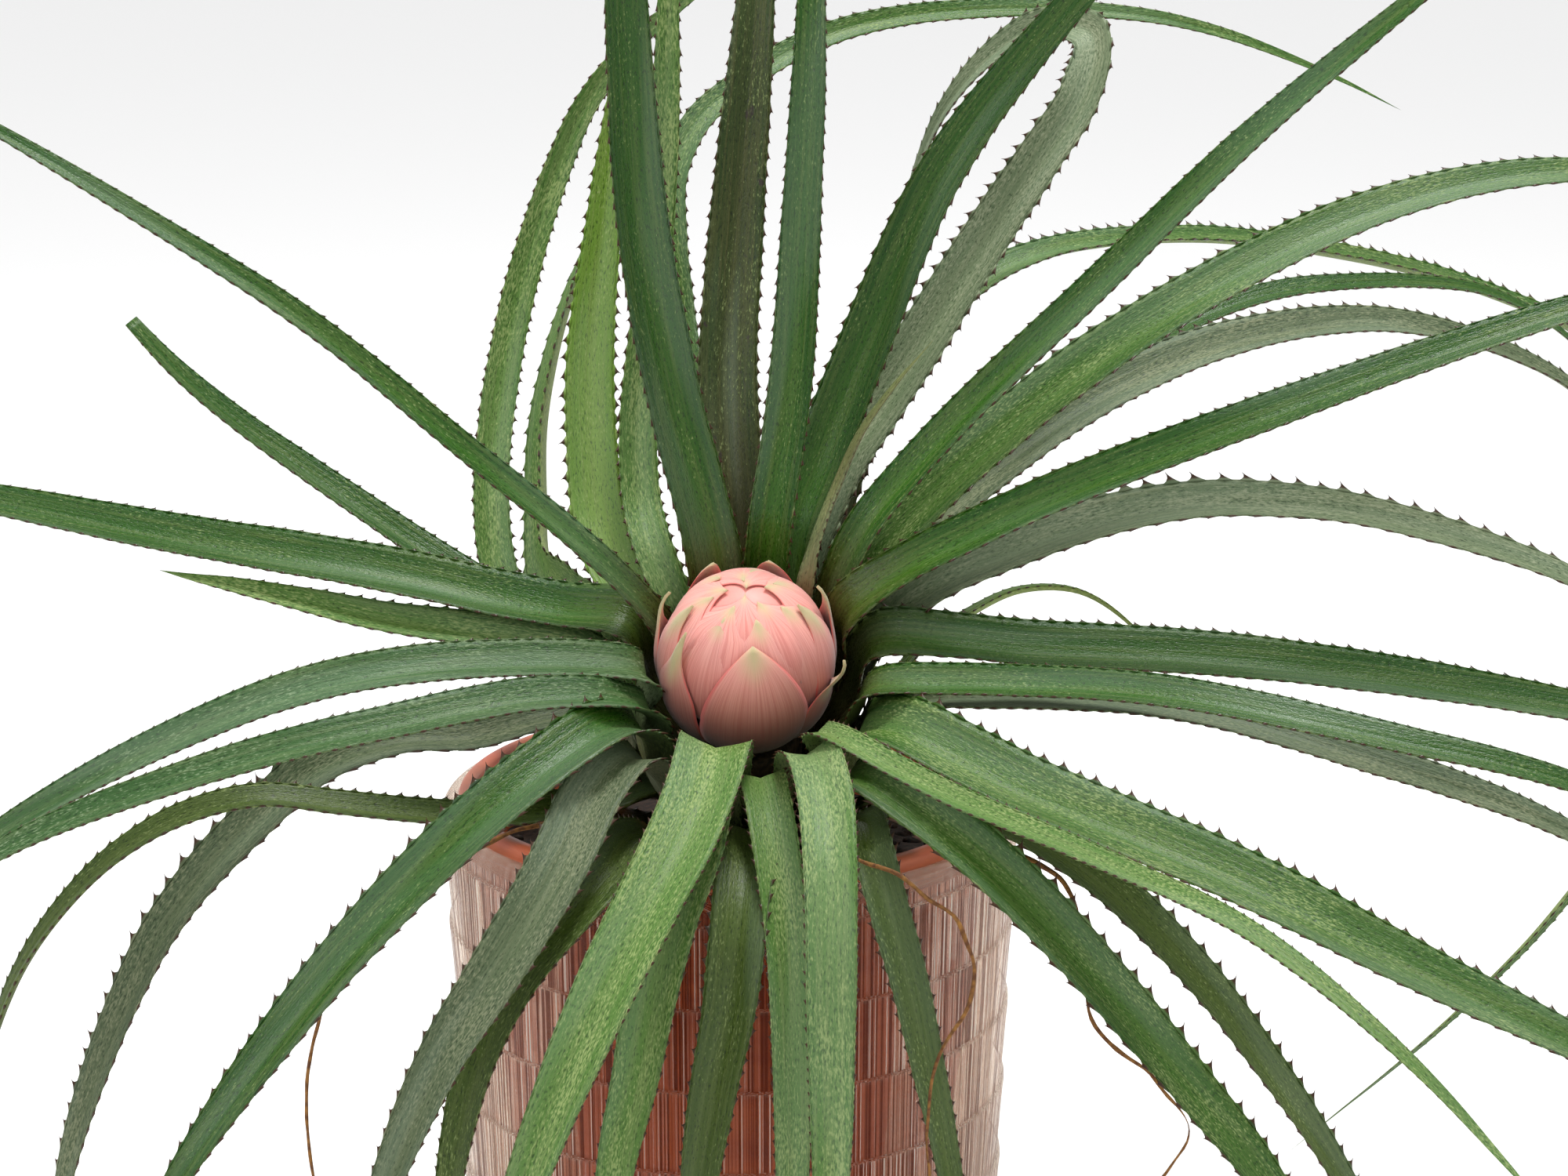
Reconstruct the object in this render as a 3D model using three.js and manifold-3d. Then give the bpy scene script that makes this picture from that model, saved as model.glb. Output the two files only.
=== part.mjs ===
// Potted bromeliad: a spiny rosette of long channelled leaves round a scaly pink flower bud, growing in a
// plastic nursery pot that stands inside a ribbed glass cover pot. Millimetres, +Z up, origin at the middle
// of the glass pot's underside.
import * as THREE from 'three';
import { mergeVertices } from 'three/addons/utils/BufferGeometryUtils.js';
import Module from 'manifold-3d';

const wasm = await Module();
wasm.setup();

// ---- Driving dimensions -------------------------------------------------------------------------

const CLEARANCE = 0.3; // between pieces that rest on or lie against each other

const glass = {
  height: 142,
  rimRadius: 71,
  footRadius: 66,
  wall: 3,
  floor: 7,
  bandHeight: 21, // one band of ribs, from one step in the wall to the next
  topBand: 8, // the short band under the rim
  stepDepth: 0.8,
  rimOuterRound: 1,
  rimInnerRound: 0.6,
  floorRound: 6, // where the wall's inside runs into the floor
};

const nursery = {
  wall: 1.6,
  floor: 2,
  lipRise: 3, // of the lip above the glass rim
  lipHeight: 16,
  lipWidth: 2.2,
  lipRound: 0.8,
  footRadius: 50,
};

const soil = {
  drop: 14, // below the glass rim
  mound: 2, // rise of the middle above the edge
  slope: 14, // width of the slope from one to the other
};

const plant = {
  x: 4, // where the stem leaves the soil, from the pot's middle
  y: 17,
  lean: 28, // degrees, towards the front
};

const stem = {
  radius: 14,
  length: 38,
  sunk: 20, // how far it would run on below the soil, were it not cut level there
  sides: 24,
};

const bud = { radius: 20, halfLength: 22.4, seatRadius: 8 };

const bract = {
  thickness: 0.9,
  gap: 0.35, // between one layer and the next
  flare: 2.2, // how far an outer bract's point stands off
  narrowFoot: 0.72, // width at the foot, as a share of the full width
};

const leaf = {
  thickness: 1.2,
  channel: 0.34, // rise of each margin above the midrib, as a share of the half width
  baseWidth: 8,
  baseGap: 0.8, // from the stem's surface to the middle of the leaf's foot
  topSeat: 1.6, // of the innermost leaf's foot below the stem's top
  pitch: 0.55, // along the stem, from one leaf's foot to the next
  neck: 12, // how far out a leaf runs straight before it takes its own way
  innerRise: 50, // degrees, of the innermost leaf's neck above the rosette's plane
  outerRise: 5,
  facedShare: 0.33, // of its length, over which a leaf's face looks at the rosette's axis
  channelStart: 0.08, // share of the length over which the channel deepens
  widens: 0.12, // share of the length by which a leaf has its full width
  twistFrom: 0.05,
  twistTo: 0.45,
  cutShare: 0.85, // of its grown length that is left of a leaf whose point was cut off
  witheredDepth: 0.4, // thickness of a dead leaf, as a share of its width
  drawnRim: 71, // rim radius of the pot that the leaves' points below were taken round
  tableGap: 6, // least height of those points above the table
  stationLength: 18,
};

const ROUND = 48; // sides of a pot

const rad = THREE.MathUtils.degToRad;

// ---- Leaves -------------------------------------------------------------------------------------

// From the innermost leaf, whose foot is highest on the stem, to the outermost. Each leaf has the bearing of
// its foot round the stem (0 to the right, 90 to the back), its width, the points that its midrib passes
// through, from where the stem leaves the soil, and, if its face turns on the way out, by how many degrees.
const LEAVES = [
  { bearing: 106, width: 14, through: [
    [-9, -9, 77], [-16, -5, 102], [-25, -12, 154], [-28, -27, 212], [-28, -42, 249], [-25, -67, 289]
  ] },
  { bearing: 31, width: 13, through: [
    [26, -24, 65], [66, -22, 87], [122, -22, 110], [198, -12, 135], [274, -2, 154]
  ] },
  { bearing: -16, width: 11, through: [
    [26, -39, 48], [65, -52, 53], [100, -67, 55], [152, -87, 50], [187, -97, 44], [237, -112, 25]
  ] },
  { bearing: -105, width: 17, through: [
    [-7, -62, 41], [-11, -87, 33], [-19, -107, 22], [-31, -127, 3], [-46, -145, -29], [-61, -157, -72]
  ] },
  { bearing: 179, width: 13, through: [
    [-25, -37, 52], [-65, -49, 57], [-101, -57, 54], [-138, -63, 41], [-175, -65, 21], [-218, -67, -11]
  ] },
  { bearing: 45, width: 10, through: [
    [26, -16, 77], [47, -12, 103], [85, -7, 140], [122, -2, 176], [159, 3, 207], [204, 13, 242]
  ] },
  { bearing: -42, width: 7, through: [
    [18, -61, 45], [45, -92, 40], [78, -129, 37], [108, -167, 34], [136, -202, 20], [163, -227, -4]
  ] },
  { bearing: 130, width: 8, through: [
    [-25, -20, 64], [-40, -17, 78], [-67, -14, 100], [-104, -12, 131], [-141, -12, 156], [-177, -14, 179],
    [-217, -17, 203]
  ] },
  { bearing: 82, width: 11, through: [
    [6, -13, 81], [11, -9, 115], [14, -5, 162], [16, 3, 208], [16, 33, 261]
  ] },
  { bearing: 20, width: 16, through: [
    [30, -23, 55], [66, -23, 53], [123, -28, 51], [198, -38, 43], [266, -53, 31]
  ] },
  { bearing: -165, width: 12, through: [
    [-24, -48, 47], [-46, -59, 52], [-81, -74, 50], [-117, -84, 44], [-170, -93, 26], [-210, -97, -2]
  ] },
  { bearing: -64, width: 13, through: [
    [15, -65, 41], [19, -92, 37], [20, -113, 22], [20, -123, -2], [20, -127, -38], [18, -125, -96]
  ] },
  { bearing: 151, width: 16, through: [
    [-28, -15, 58], [-49, -9, 59], [-88, -3, 66], [-146, 3, 75], [-186, 8, 82], [-254, 13, 94]
  ] },
  { bearing: 66, width: 5, through: [[16, -15, 74], [21, -5, 86], [30, 1, 105], [46, 5, 125]] },
  { bearing: -141, width: 15, through: [
    [-27, -55, 45], [-42, -75, 43], [-63, -95, 31], [-83, -109, 14], [-100, -118, -4], [-126, -129, -38],
    [-143, -135, -69]
  ] },
  { bearing: 47, width: 15, through: [
    [30, -9, 70], [77, 8, 111], [126, 23, 139], [166, 33, 154], [206, 38, 160], [272, 43, 153]
  ] },
  { bearing: -84, width: 11, through: [
    [4, -63, 34], [7, -85, 25], [10, -102, 8], [11, -111, -17], [11, -114, -44], [10, -111, -101]
  ] },
  { bearing: 95, width: 15, through: [
    [-3, 7, 81], [-5, 18, 109], [-3, 33, 145], [2, 48, 202], [6, 78, 258]
  ] },
  { bearing: -24, width: 18, through: [
    [31, -51, 43], [64, -77, 35], [115, -111, 23], [148, -129, 11], [180, -144, 0], [232, -169, -20]
  ] },
  { bearing: -124, width: 15, through: [
    [-27, -63, 39], [-36, -82, 34], [-42, -98, 24], [-55, -116, 6], [-69, -124, -15], [-79, -128, -38],
    [-94, -133, -74]
  ] },
  { bearing: 163, width: 12, through: [
    [-40, -17, 52], [-58, -14, 54], [-87, -11, 57], [-116, -8, 63], [-145, -5, 69]
  ] },
  { bearing: 26, width: 14, through: [
    [36, -13, 59], [67, -1, 72], [107, 8, 81], [146, 13, 79], [176, 13, 72], [206, 11, 62], [251, 3, 37]
  ] },
  { bearing: 69, width: 14, through: [
    [12, -1, 75], [18, 5, 92], [29, 11, 120], [48, 15, 164], [78, 11, 205], [112, -7, 244]
  ] },
  { bearing: -106, width: 14, through: [
    [-9, -65, 31], [-11, -89, 25], [-18, -107, 8], [-25, -115, -25], [-29, -116, -43], [-34, -114, -93]
  ] },
  { bearing: 117, width: 10, through: [
    [-20, -1, 64], [-26, 13, 76], [-28, 25, 95], [-24, 38, 134], [-21, 45, 173], [-20, 49, 202],
    [-20, 57, 250]
  ] },
  { bearing: 9, width: 13, through: [
    [36, -33, 43], [56, -45, 48], [101, -59, 50], [145, -75, 42], [190, -85, 28], [226, -92, 6]
  ] },
  { bearing: -48, width: 15, through: [
    [27, -63, 34], [55, -83, 20], [81, -99, -3], [99, -106, -23], [118, -110, -46], [151, -113, -106]
  ] },
  { bearing: 48, width: 15, through: [
    [34, 5, 67], [52, 17, 80], [90, 45, 100], [132, 69, 111], [175, 83, 111], [219, 88, 94], [243, 87, 69]
  ] },
  { bearing: -173, width: 14, through: [
    [-34, -31, 41], [-66, -41, 37], [-94, -49, 36], [-117, -56, 19], [-136, -60, -2], [-152, -62, -33],
    [-164, -62, -67], [-172, -60, -110]
  ] },
  { bearing: 78, width: 14, through: [
    [19, 17, 81], [39, 29, 110], [60, 39, 142], [82, 45, 175], [89, 49, 188], [83, 59, 195], [68, 71, 189],
    [50, 83, 167], [39, 89, 137]
  ] },
  { bearing: 130, width: 14, through: [
    [-27, 1, 58], [-35, 15, 66], [-39, 29, 86], [-40, 41, 114], [-37, 49, 142], [-34, 54, 170],
    [-31, 58, 197]
  ] },
  { bearing: -124, width: 13, through: [
    [-28, -75, 21], [-33, -95, 18], [-46, -107, 7], [-58, -114, -12], [-66, -116, -43], [-71, -115, -87]
  ] },
  { bearing: -30, width: 12, through: [
    [43, -45, 24], [74, -61, 15], [102, -70, -8], [125, -73, -37], [142, -73, -63], [167, -71, -113]
  ] },
  { bearing: 174, width: 10, cut: true, through: [
    [-51, -3, 55], [-69, 11, 61], [-93, 19, 75], [-119, 25, 92], [-139, 28, 107], [-155, 31, 124]
  ] },
  { bearing: 38, width: 9, through: [
    [39, 17, 72], [64, 43, 90], [97, 67, 106], [134, 87, 118], [166, 97, 120], [199, 104, 116],
    [222, 107, 103], [240, 108, 83]
  ] },
  { bearing: -88, width: 14, through: [
    [0, -61, 21], [0, -88, 19], [-1, -99, 11], [-2, -103, -1], [-7, -106, -28], [-10, -106, -48],
    [-15, -103, -95]
  ] },
  { bearing: 141, width: 16, twist: -50, through: [
    [-34, 5, 54], [-48, 17, 57], [-52, 33, 74], [-52, 45, 98], [-47, 53, 121], [-40, 60, 144]
  ] },
  { bearing: 62, width: 9, through: [
    [25, 27, 83], [48, 55, 118], [71, 75, 130], [114, 103, 131], [159, 123, 123], [204, 133, 110],
    [238, 133, 93], [264, 123, 58], [263, 105, 4], [227, 91, -51], [194, 83, -85], [149, 75, -126]
  ] },
  { bearing: 98, width: 8, through: [
    [-10, 27, 86], [-18, 61, 120], [-18, 87, 158], [5, 107, 177], [30, 119, 186], [69, 129, 189],
    [116, 134, 185], [155, 134, 172], [178, 133, 161]
  ] },
  { bearing: -58, width: 10, through: [
    [28, -59, 22], [31, -87, 20], [38, -99, -2], [44, -102, -30], [48, -102, -50], [52, -99, -91]
  ] },
  { bearing: -156, width: 10, through: [
    [-38, -37, 19], [-55, -55, 21], [-83, -69, 27], [-118, -78, 33], [-145, -81, 21], [-165, -80, -1],
    [-175, -78, -20], [-185, -75, -58]
  ] },
  { bearing: 150, width: 10, through: [
    [-41, 3, 45], [-61, 27, 50], [-67, 45, 71], [-64, 69, 107], [-54, 84, 144], [-40, 93, 174],
    [-17, 98, 196], [11, 101, 214]
  ] },
  { bearing: 10, width: 5, through: [
    [39, 1, 42], [59, 23, 51], [77, 31, 55], [90, 34, 50], [100, 34, 42], [110, 32, 29]
  ] },
];

// Dead leaves, shrivelled to a thread, written in the same way.
const WITHERED = [
  { rank: 43, bearing: -138, width: 3, through: [
    [-46, -67, 24], [-71, -83, 19], [-92, -91, -2], [-95, -92, -6], [-102, -95, -31], [-100, -95, -53],
    [-99, -94, -77]
  ] },
  { rank: 42, bearing: -74, width: 3, through: [
    [20, -75, 21], [29, -96, 24], [41, -97, 19], [52, -103, 7], [51, -105, -8], [43, -107, -22],
    [42, -107, -36], [43, -106, -56]
  ] },
  { rank: 38, bearing: -42, width: 3, through: [
    [37, -51, 21], [65, -63, 15], [80, -69, 4], [80, -73, -9], [83, -77, -23], [95, -81, -33],
    [106, -85, -43], [97, -89, -50], [96, -90, -59]
  ] },
];

// ---- Bracts -------------------------------------------------------------------------------------

// Each bract has the bearing of its middle, half the angle it spans round the bud, and how far its point and
// its foot are from the bud's apex, in degrees. layer 0 lies on the heart of the bud and layer 1 on layer 0.
const BRACTS = [
  { name: 'bract_front', layer: 1, bearing: -83, spread: 32, tip: 42, foot: 128 },
  { name: 'bract_right_front', layer: 1, bearing: -29, spread: 20, tip: 66, foot: 128 },
  { name: 'bract_left_front', layer: 1, bearing: -145, spread: 21, tip: 46, foot: 128 },
  { name: 'bract_left', layer: 1, bearing: 168, spread: 20, tip: 48, foot: 128 },
  { name: 'bract_right', layer: 1, bearing: 20, spread: 20, tip: 48, foot: 128 },
  { name: 'bract_back_left', layer: 1, bearing: 120, spread: 22, tip: 42, foot: 128 },
  { name: 'bract_back_right', layer: 1, bearing: 70, spread: 22, tip: 44, foot: 128 },
  { name: 'bract_inner_right', layer: 0, bearing: -8, spread: 26, tip: 36, foot: 112 },
  { name: 'bract_inner_left', layer: 0, bearing: -170, spread: 26, tip: 36, foot: 112 },
];

// ---- Helpers ------------------------------------------------------------------------------------

const object = new THREE.Group();

function add(parent, name, geometry, look) {
  const mesh = new THREE.Mesh(geometry, new THREE.MeshStandardMaterial(look));
  mesh.name = name;
  parent.add(mesh);
  return mesh;
}

function lathe(outline) {
  const points = outline.map(([radius, z]) => new THREE.Vector2(radius, z));
  return new THREE.LatheGeometry(points, ROUND).rotateX(Math.PI / 2);
}

function solidOf(geometry) {
  const plain = geometry.clone();
  plain.deleteAttribute('normal');
  plain.deleteAttribute('uv');
  const merged = mergeVertices(plain, 1e-4);
  const vertProperties = new Float32Array(merged.attributes.position.array);
  const triVerts = new Uint32Array(merged.index.array);
  return new wasm.Manifold(new wasm.Mesh({ numProp: 3, vertProperties, triVerts }));
}

function geometryOf(solid) {
  const { vertProperties, triVerts } = solid.getMesh();
  const geometry = new THREE.BufferGeometry();
  geometry.setAttribute('position', new THREE.BufferAttribute(vertProperties, 3));
  geometry.setIndex(new THREE.BufferAttribute(triVerts, 1));
  return geometry;
}

// A closed skin over rings of as many points each, whose second half runs back under the first, with its faces
// split along the same lines, so that the two halves keep clear of each other. The first ring is closed by a
// strip, and the last one by a strip or by the point where all the lines meet.
function skin(rings, apex) {
  const around = rings[0].length;
  const corners = rings.flat();
  const faces = [];
  for (let ring = 0; ring < rings.length - 1; ring += 1) {
    for (let side = 0; side < around; side += 1) {
      const a = ring * around + side;
      const b = ring * around + ((side + 1) % around);
      if (side < around / 2) faces.push(a, b, a + around, b, b + around, a + around);
      else faces.push(a, b, b + around, a, b + around, a + around);
    }
  }
  const last = (rings.length - 1) * around;
  const cap = (ring, near) => {
    const far = around - 1 - near;
    return [ring + near, ring + near + 1, ring + far - 1, ring + near, ring + far - 1, ring + far];
  };
  for (let near = 0; near < around / 2 - 1; near += 1) faces.push(...cap(0, near).reverse());
  if (apex) {
    corners.push(apex);
    for (let side = 0; side < around; side += 1) {
      faces.push(last + side, last + ((side + 1) % around), corners.length - 1);
    }
  } else {
    for (let near = 0; near < around / 2 - 1; near += 1) faces.push(...cap(last, near));
  }
  const geometry = new THREE.BufferGeometry().setFromPoints(corners);
  geometry.setIndex(faces);
  return geometry;
}

// ---- Pots and soil ------------------------------------------------------------------------------

const soilTop = glass.height - soil.drop;

function glassRadius(z) {
  return THREE.MathUtils.mapLinear(z, 0, glass.height, glass.footRadius, glass.rimRadius);
}

function glassPot() {
  const outline = [[0, 0], [glassRadius(0), 0]];
  const steps = [];
  for (let z = glass.height - glass.topBand; z > glass.floor; z -= glass.bandHeight) steps.unshift(z);
  for (const z of steps) {
    outline.push([glassRadius(z), z - CLEARANCE]);
    outline.push([glassRadius(z) - glass.stepDepth, z]);
  }
  const inner = glass.rimRadius - glass.wall;
  const foot = glassRadius(glass.floor) - glass.wall;
  outline.push(
    [glass.rimRadius, glass.height - glass.rimOuterRound],
    [glass.rimRadius - glass.rimOuterRound, glass.height],
    [inner + glass.rimInnerRound, glass.height],
    [inner, glass.height - glass.rimInnerRound],
    [foot, glass.floor + glass.floorRound],
    [foot - glass.floorRound, glass.floor],
    [0, glass.floor],
  );
  return lathe(outline);
}

const lip = {
  top: glass.height + nursery.lipRise,
  radius: glassRadius(glass.height + nursery.lipRise - nursery.lipHeight) - glass.wall - CLEARANCE,
};
const nurseryWallTop = lip.radius - nursery.lipWidth; // outer radius under the lip
const nurseryBase = glass.floor + CLEARANCE;

function nurseryRadius(z) {
  return THREE.MathUtils.mapLinear(z, nurseryBase, lip.top, nursery.footRadius, nurseryWallTop);
}

function nurseryPot() {
  const under = lip.top - nursery.lipHeight;
  const floor = nurseryBase + nursery.floor;
  return lathe([
    [0, nurseryBase],
    [nursery.footRadius, nurseryBase],
    [nurseryRadius(under), under],
    [lip.radius, under],
    [lip.radius, lip.top - nursery.lipRound],
    [lip.radius - nursery.lipRound, lip.top],
    [nurseryWallTop - nursery.wall + nursery.lipRound, lip.top],
    [nurseryWallTop - nursery.wall, lip.top - nursery.lipRound],
    [nurseryRadius(floor) - nursery.wall, floor],
    [0, floor],
  ]);
}

function pottingSoil() {
  const low = nurseryBase + nursery.floor + CLEARANCE;
  const edge = soilTop - soil.mound;
  const inner = (z) => nurseryRadius(z) - nursery.wall - CLEARANCE;
  return lathe([
    [0, low],
    [inner(low), low],
    [inner(edge), edge],
    [inner(edge) - soil.slope, soilTop],
    [0, soilTop],
  ]);
}

// ---- Rosette: a stem that leans forward, with the bud on its end --------------------------------

const lean = new THREE.Matrix4().makeRotationX(rad(plant.lean));

// A point at a height along the stem, at a radius from its axis and at a bearing round it.
function onRosette(bearing, radius, height) {
  const angle = rad(bearing);
  return new THREE.Vector3(radius * Math.cos(angle), radius * Math.sin(angle), height).applyMatrix4(lean);
}

function stemSolid() {
  const length = stem.length + stem.sunk;
  const cylinder = new THREE.CylinderGeometry(stem.radius, stem.radius, length, stem.sides)
    .rotateX(Math.PI / 2)
    .translate(0, 0, stem.length - length / 2)
    .applyMatrix4(lean);
  const breadth = 4 * (stem.radius + length);
  const ground = new THREE.BoxGeometry(breadth, breadth, length).translate(0, 0, CLEARANCE - length / 2);
  return geometryOf(solidOf(cylinder).subtract(solidOf(ground)));
}

const budSeat = bud.halfLength * Math.sqrt(1 - (bud.seatRadius / bud.radius) ** 2); // below its middle
const budMiddle = stem.length + CLEARANCE + budSeat;

function budHeart() {
  const outline = [];
  const seatAngle = Math.asin(bud.seatRadius / bud.radius);
  const steps = 12;
  for (let step = 0; step <= steps; step += 1) {
    const angle = THREE.MathUtils.lerp(seatAngle, Math.PI, step / steps);
    outline.push([bud.radius * Math.sin(angle), -bud.halfLength * Math.cos(angle)]);
  }
  outline.unshift([0, outline[0][1]]);
  outline[outline.length - 1][0] = 0;
  return lathe(outline);
}

// A shell over part of the bud: its foot lies on the heart, it is broadest a third of the way up, and the
// point of an outer one stands off the bud.
function bractShell({ layer, bearing, spread, tip, foot }) {
  const across = 6;
  const along = 8;
  const point = (side, v, depth) => {
    const angle = rad(THREE.MathUtils.lerp(foot, tip, v));
    const belly = Math.sin(Math.PI * Math.min(1, v * 1.5));
    const shape = THREE.MathUtils.lerp(bract.narrowFoot, 1, belly);
    const half = rad(spread) * shape * Math.sqrt(Math.max(0.004, 1 - v ** 2.4));
    const turn = rad(bearing) + half * ((2 * side) / across - 1);
    const stacked = bract.thickness + bract.gap;
    const out = bract.gap + depth + layer * (stacked * Math.min(1, v * along) + bract.flare * v ** 4);
    const radius = (bud.radius + out) * Math.sin(angle);
    const height = (bud.halfLength + out) * Math.cos(angle);
    return new THREE.Vector3(radius * Math.cos(turn), radius * Math.sin(turn), height);
  };
  const rings = [];
  for (let step = 0; step <= along; step += 1) {
    const v = step / along;
    const ring = [];
    for (let side = 0; side <= across; side += 1) ring.push(point(side, v, bract.thickness));
    for (let side = across; side >= 0; side -= 1) ring.push(point(side, v, 0));
    rings.push(ring);
  }
  return skin(rings);
}

// ---- Leaf blades --------------------------------------------------------------------------------

function footHeight(rank) {
  return stem.length - leaf.topSeat - leaf.pitch * rank;
}

// A leaf's point, as far out from the pot's rim as it was drawn, and no lower than just above the table.
function pastRim([x, y, z]) {
  const out = new THREE.Vector2(x + plant.x, y + plant.y);
  const share = THREE.MathUtils.smoothstep(out.length(), stem.radius, leaf.drawnRim);
  out.setLength(out.length() + share * (glass.rimRadius - leaf.drawnRim));
  return new THREE.Vector3(out.x - plant.x, out.y - plant.y, Math.max(z, leaf.tableGap - soilTop));
}

function leafCurve({ bearing, through }, rank) {
  const rise = rad(THREE.MathUtils.lerp(leaf.innerRise, leaf.outerRise, rank / LEAVES.length));
  const foot = onRosette(bearing, stem.radius + leaf.baseGap, footHeight(rank));
  const neck = onRosette(bearing, stem.radius + leaf.neck, footHeight(rank) + leaf.neck * Math.tan(rise));
  return new THREE.CatmullRomCurve3([foot, neck, ...through.map(pastRim)], false, 'centripetal');
}

// Half the width of a blade at a share of its length: narrow at the foot, soon full, then a long taper.
function halfWidth(width, share) {
  const foot = THREE.MathUtils.smoothstep(share, 0, leaf.widens);
  const body = THREE.MathUtils.lerp(Math.min(leaf.baseWidth, width), width, foot);
  return (body / 2) * (1 - share ** 3.2) ** 0.9;
}

// The way a blade's face looks where it runs along this direction: towards the rosette's axis.
function facing(point, along) {
  const axis = onRosette(0, 0, 1);
  const outward = point.clone().addScaledVector(axis, -point.dot(axis)).normalize();
  return axis.clone().multiplyScalar(along.dot(outward)).addScaledVector(outward, -along.dot(axis));
}

// Cross-sections of a channelled blade along its curve: margin, groove, margin and keel of each. The face
// looks towards the rosette's axis at first and is carried on from there, turned by the leaf's own twist.
function bladeRings(curve, { width, twist = 0, cut = false }, thickness) {
  const stations = Math.max(8, Math.round(curve.getLength() / leaf.stationLength));
  const end = cut ? stations : stations - 1;
  let face;
  const rings = [];
  for (let station = 0; station <= end; station += 1) {
    const share = station / stations;
    const middle = curve.getPointAt(share);
    const along = curve.getTangentAt(share);
    if (share < leaf.facedShare) face = facing(middle, along);
    face.addScaledVector(along, -face.dot(along)).normalize();
    const turn = rad(twist) * THREE.MathUtils.smoothstep(share, leaf.twistFrom, leaf.twistTo);
    const up = face.clone().applyAxisAngle(along, turn);
    const side = new THREE.Vector3().crossVectors(along, up);
    const half = halfWidth(width, cut ? share * leaf.cutShare : share);
    const margin = leaf.channel * half * THREE.MathUtils.smoothstep(share, 0, leaf.channelStart);
    const offset = (across, rise) => middle.clone().addScaledVector(side, across).addScaledVector(up, rise);
    rings.push([
      offset(-half, margin),
      offset(0, thickness / 2),
      offset(half, margin),
      offset(0, -thickness / 2),
    ]);
  }
  return rings;
}

function blade(row, rank, thickness) {
  const curve = leafCurve(row, rank);
  const rings = bladeRings(curve, row, thickness);
  return skin(rings, row.cut ? null : curve.getPointAt(1));
}

// ---- Assembly -----------------------------------------------------------------------------------

const looks = {
  glass: { color: 0xe9e2d8, roughness: 0.08, transparent: true, opacity: 0.45 },
  plastic: { color: 0xc8593a, roughness: 0.5 },
  soil: { color: 0x2a211c, roughness: 1 },
  stem: { color: 0x5a4632, roughness: 0.85 },
  innerBract: { color: 0xe89a95, roughness: 0.55 },
  outerBract: { color: 0xe0807f, roughness: 0.55 },
  leaf: { color: 0x3f6f35, roughness: 0.4 },
  withered: { color: 0x7a5a34, roughness: 0.8 },
};

add(object, 'glass_cover_pot', glassPot(), looks.glass);
add(object, 'nursery_pot', nurseryPot(), looks.plastic);
add(object, 'potting_soil', pottingSoil(), looks.soil);

const whole = new THREE.Group();
whole.position.set(plant.x, plant.y, soilTop);
object.add(whole);

const rosette = new THREE.Group();
rosette.rotation.x = rad(plant.lean);
whole.add(rosette);

add(whole, 'stem', stemSolid(), looks.stem);

const flower = new THREE.Group();
flower.position.z = budMiddle;
rosette.add(flower);
add(flower, 'bud_heart', budHeart(), looks.innerBract);
for (const row of BRACTS) {
  add(flower, row.name, bractShell(row), row.layer ? looks.outerBract : looks.innerBract);
}

LEAVES.forEach((row, index) => {
  const name = `leaf_${String(index + 1).padStart(2, '0')}`;
  add(whole, name, blade(row, index, leaf.thickness), looks.leaf);
});
WITHERED.forEach((row, index) => {
  const name = `withered_leaf_${index + 1}`;
  add(whole, name, blade(row, row.rank, row.width * leaf.witheredDepth), looks.withered);
});

export default object;
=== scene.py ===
"""Potted bromeliad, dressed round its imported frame.

A rosette of long channelled leaves with hooked teeth stands round a scaly pink flower bud, in a plastic
nursery pot inside a ribbed glass cover pot. Every piece takes its place from a CAD node of the frame: the
leaves and dead leaves from their nodes' cross-sections, the bracts from the angles that their nodes span
round the bud, the stem from its node's mesh, and the pots, the soil and the stumps of old leaves from boxes.
"""

import logging
import math
import random
from collections.abc import Callable
from dataclasses import dataclass, field
from enum import Enum

import bmesh
import bpy
from mathutils import Matrix, Vector, noise

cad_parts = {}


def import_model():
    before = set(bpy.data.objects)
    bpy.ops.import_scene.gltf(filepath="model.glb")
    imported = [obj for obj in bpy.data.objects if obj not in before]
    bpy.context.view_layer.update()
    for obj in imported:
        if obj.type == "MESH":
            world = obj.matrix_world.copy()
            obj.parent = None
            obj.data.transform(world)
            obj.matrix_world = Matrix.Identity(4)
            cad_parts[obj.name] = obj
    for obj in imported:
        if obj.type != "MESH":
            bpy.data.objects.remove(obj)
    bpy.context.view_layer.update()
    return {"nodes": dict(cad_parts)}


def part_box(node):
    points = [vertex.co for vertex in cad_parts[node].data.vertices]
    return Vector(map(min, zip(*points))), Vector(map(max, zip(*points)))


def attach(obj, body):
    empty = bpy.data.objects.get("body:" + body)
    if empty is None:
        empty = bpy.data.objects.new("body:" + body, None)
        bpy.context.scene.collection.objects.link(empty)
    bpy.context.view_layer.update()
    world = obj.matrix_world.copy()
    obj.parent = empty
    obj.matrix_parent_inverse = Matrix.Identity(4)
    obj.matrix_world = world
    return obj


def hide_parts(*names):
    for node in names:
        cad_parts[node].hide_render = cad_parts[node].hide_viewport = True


LOG = logging.getLogger("bromeliad")
MM = 0.001
BODY = "root"

# --------------------------------------------------------------------------------------------- small tools


def linear(colour: str) -> tuple[float, float, float, float]:
    """Turns an sRGB hex colour into linear RGBA.

    Args:
        colour: Six hex digits after a hash sign.

    Returns:
        The linear colour with an alpha of one.
    """
    parts = [int(colour[i : i + 2], 16) / 255 for i in (1, 3, 5)]
    red, green, blue = (c / 12.92 if c <= 0.04045 else ((c + 0.055) / 1.055) ** 2.4 for c in parts)
    return red, green, blue, 1.0


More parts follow.
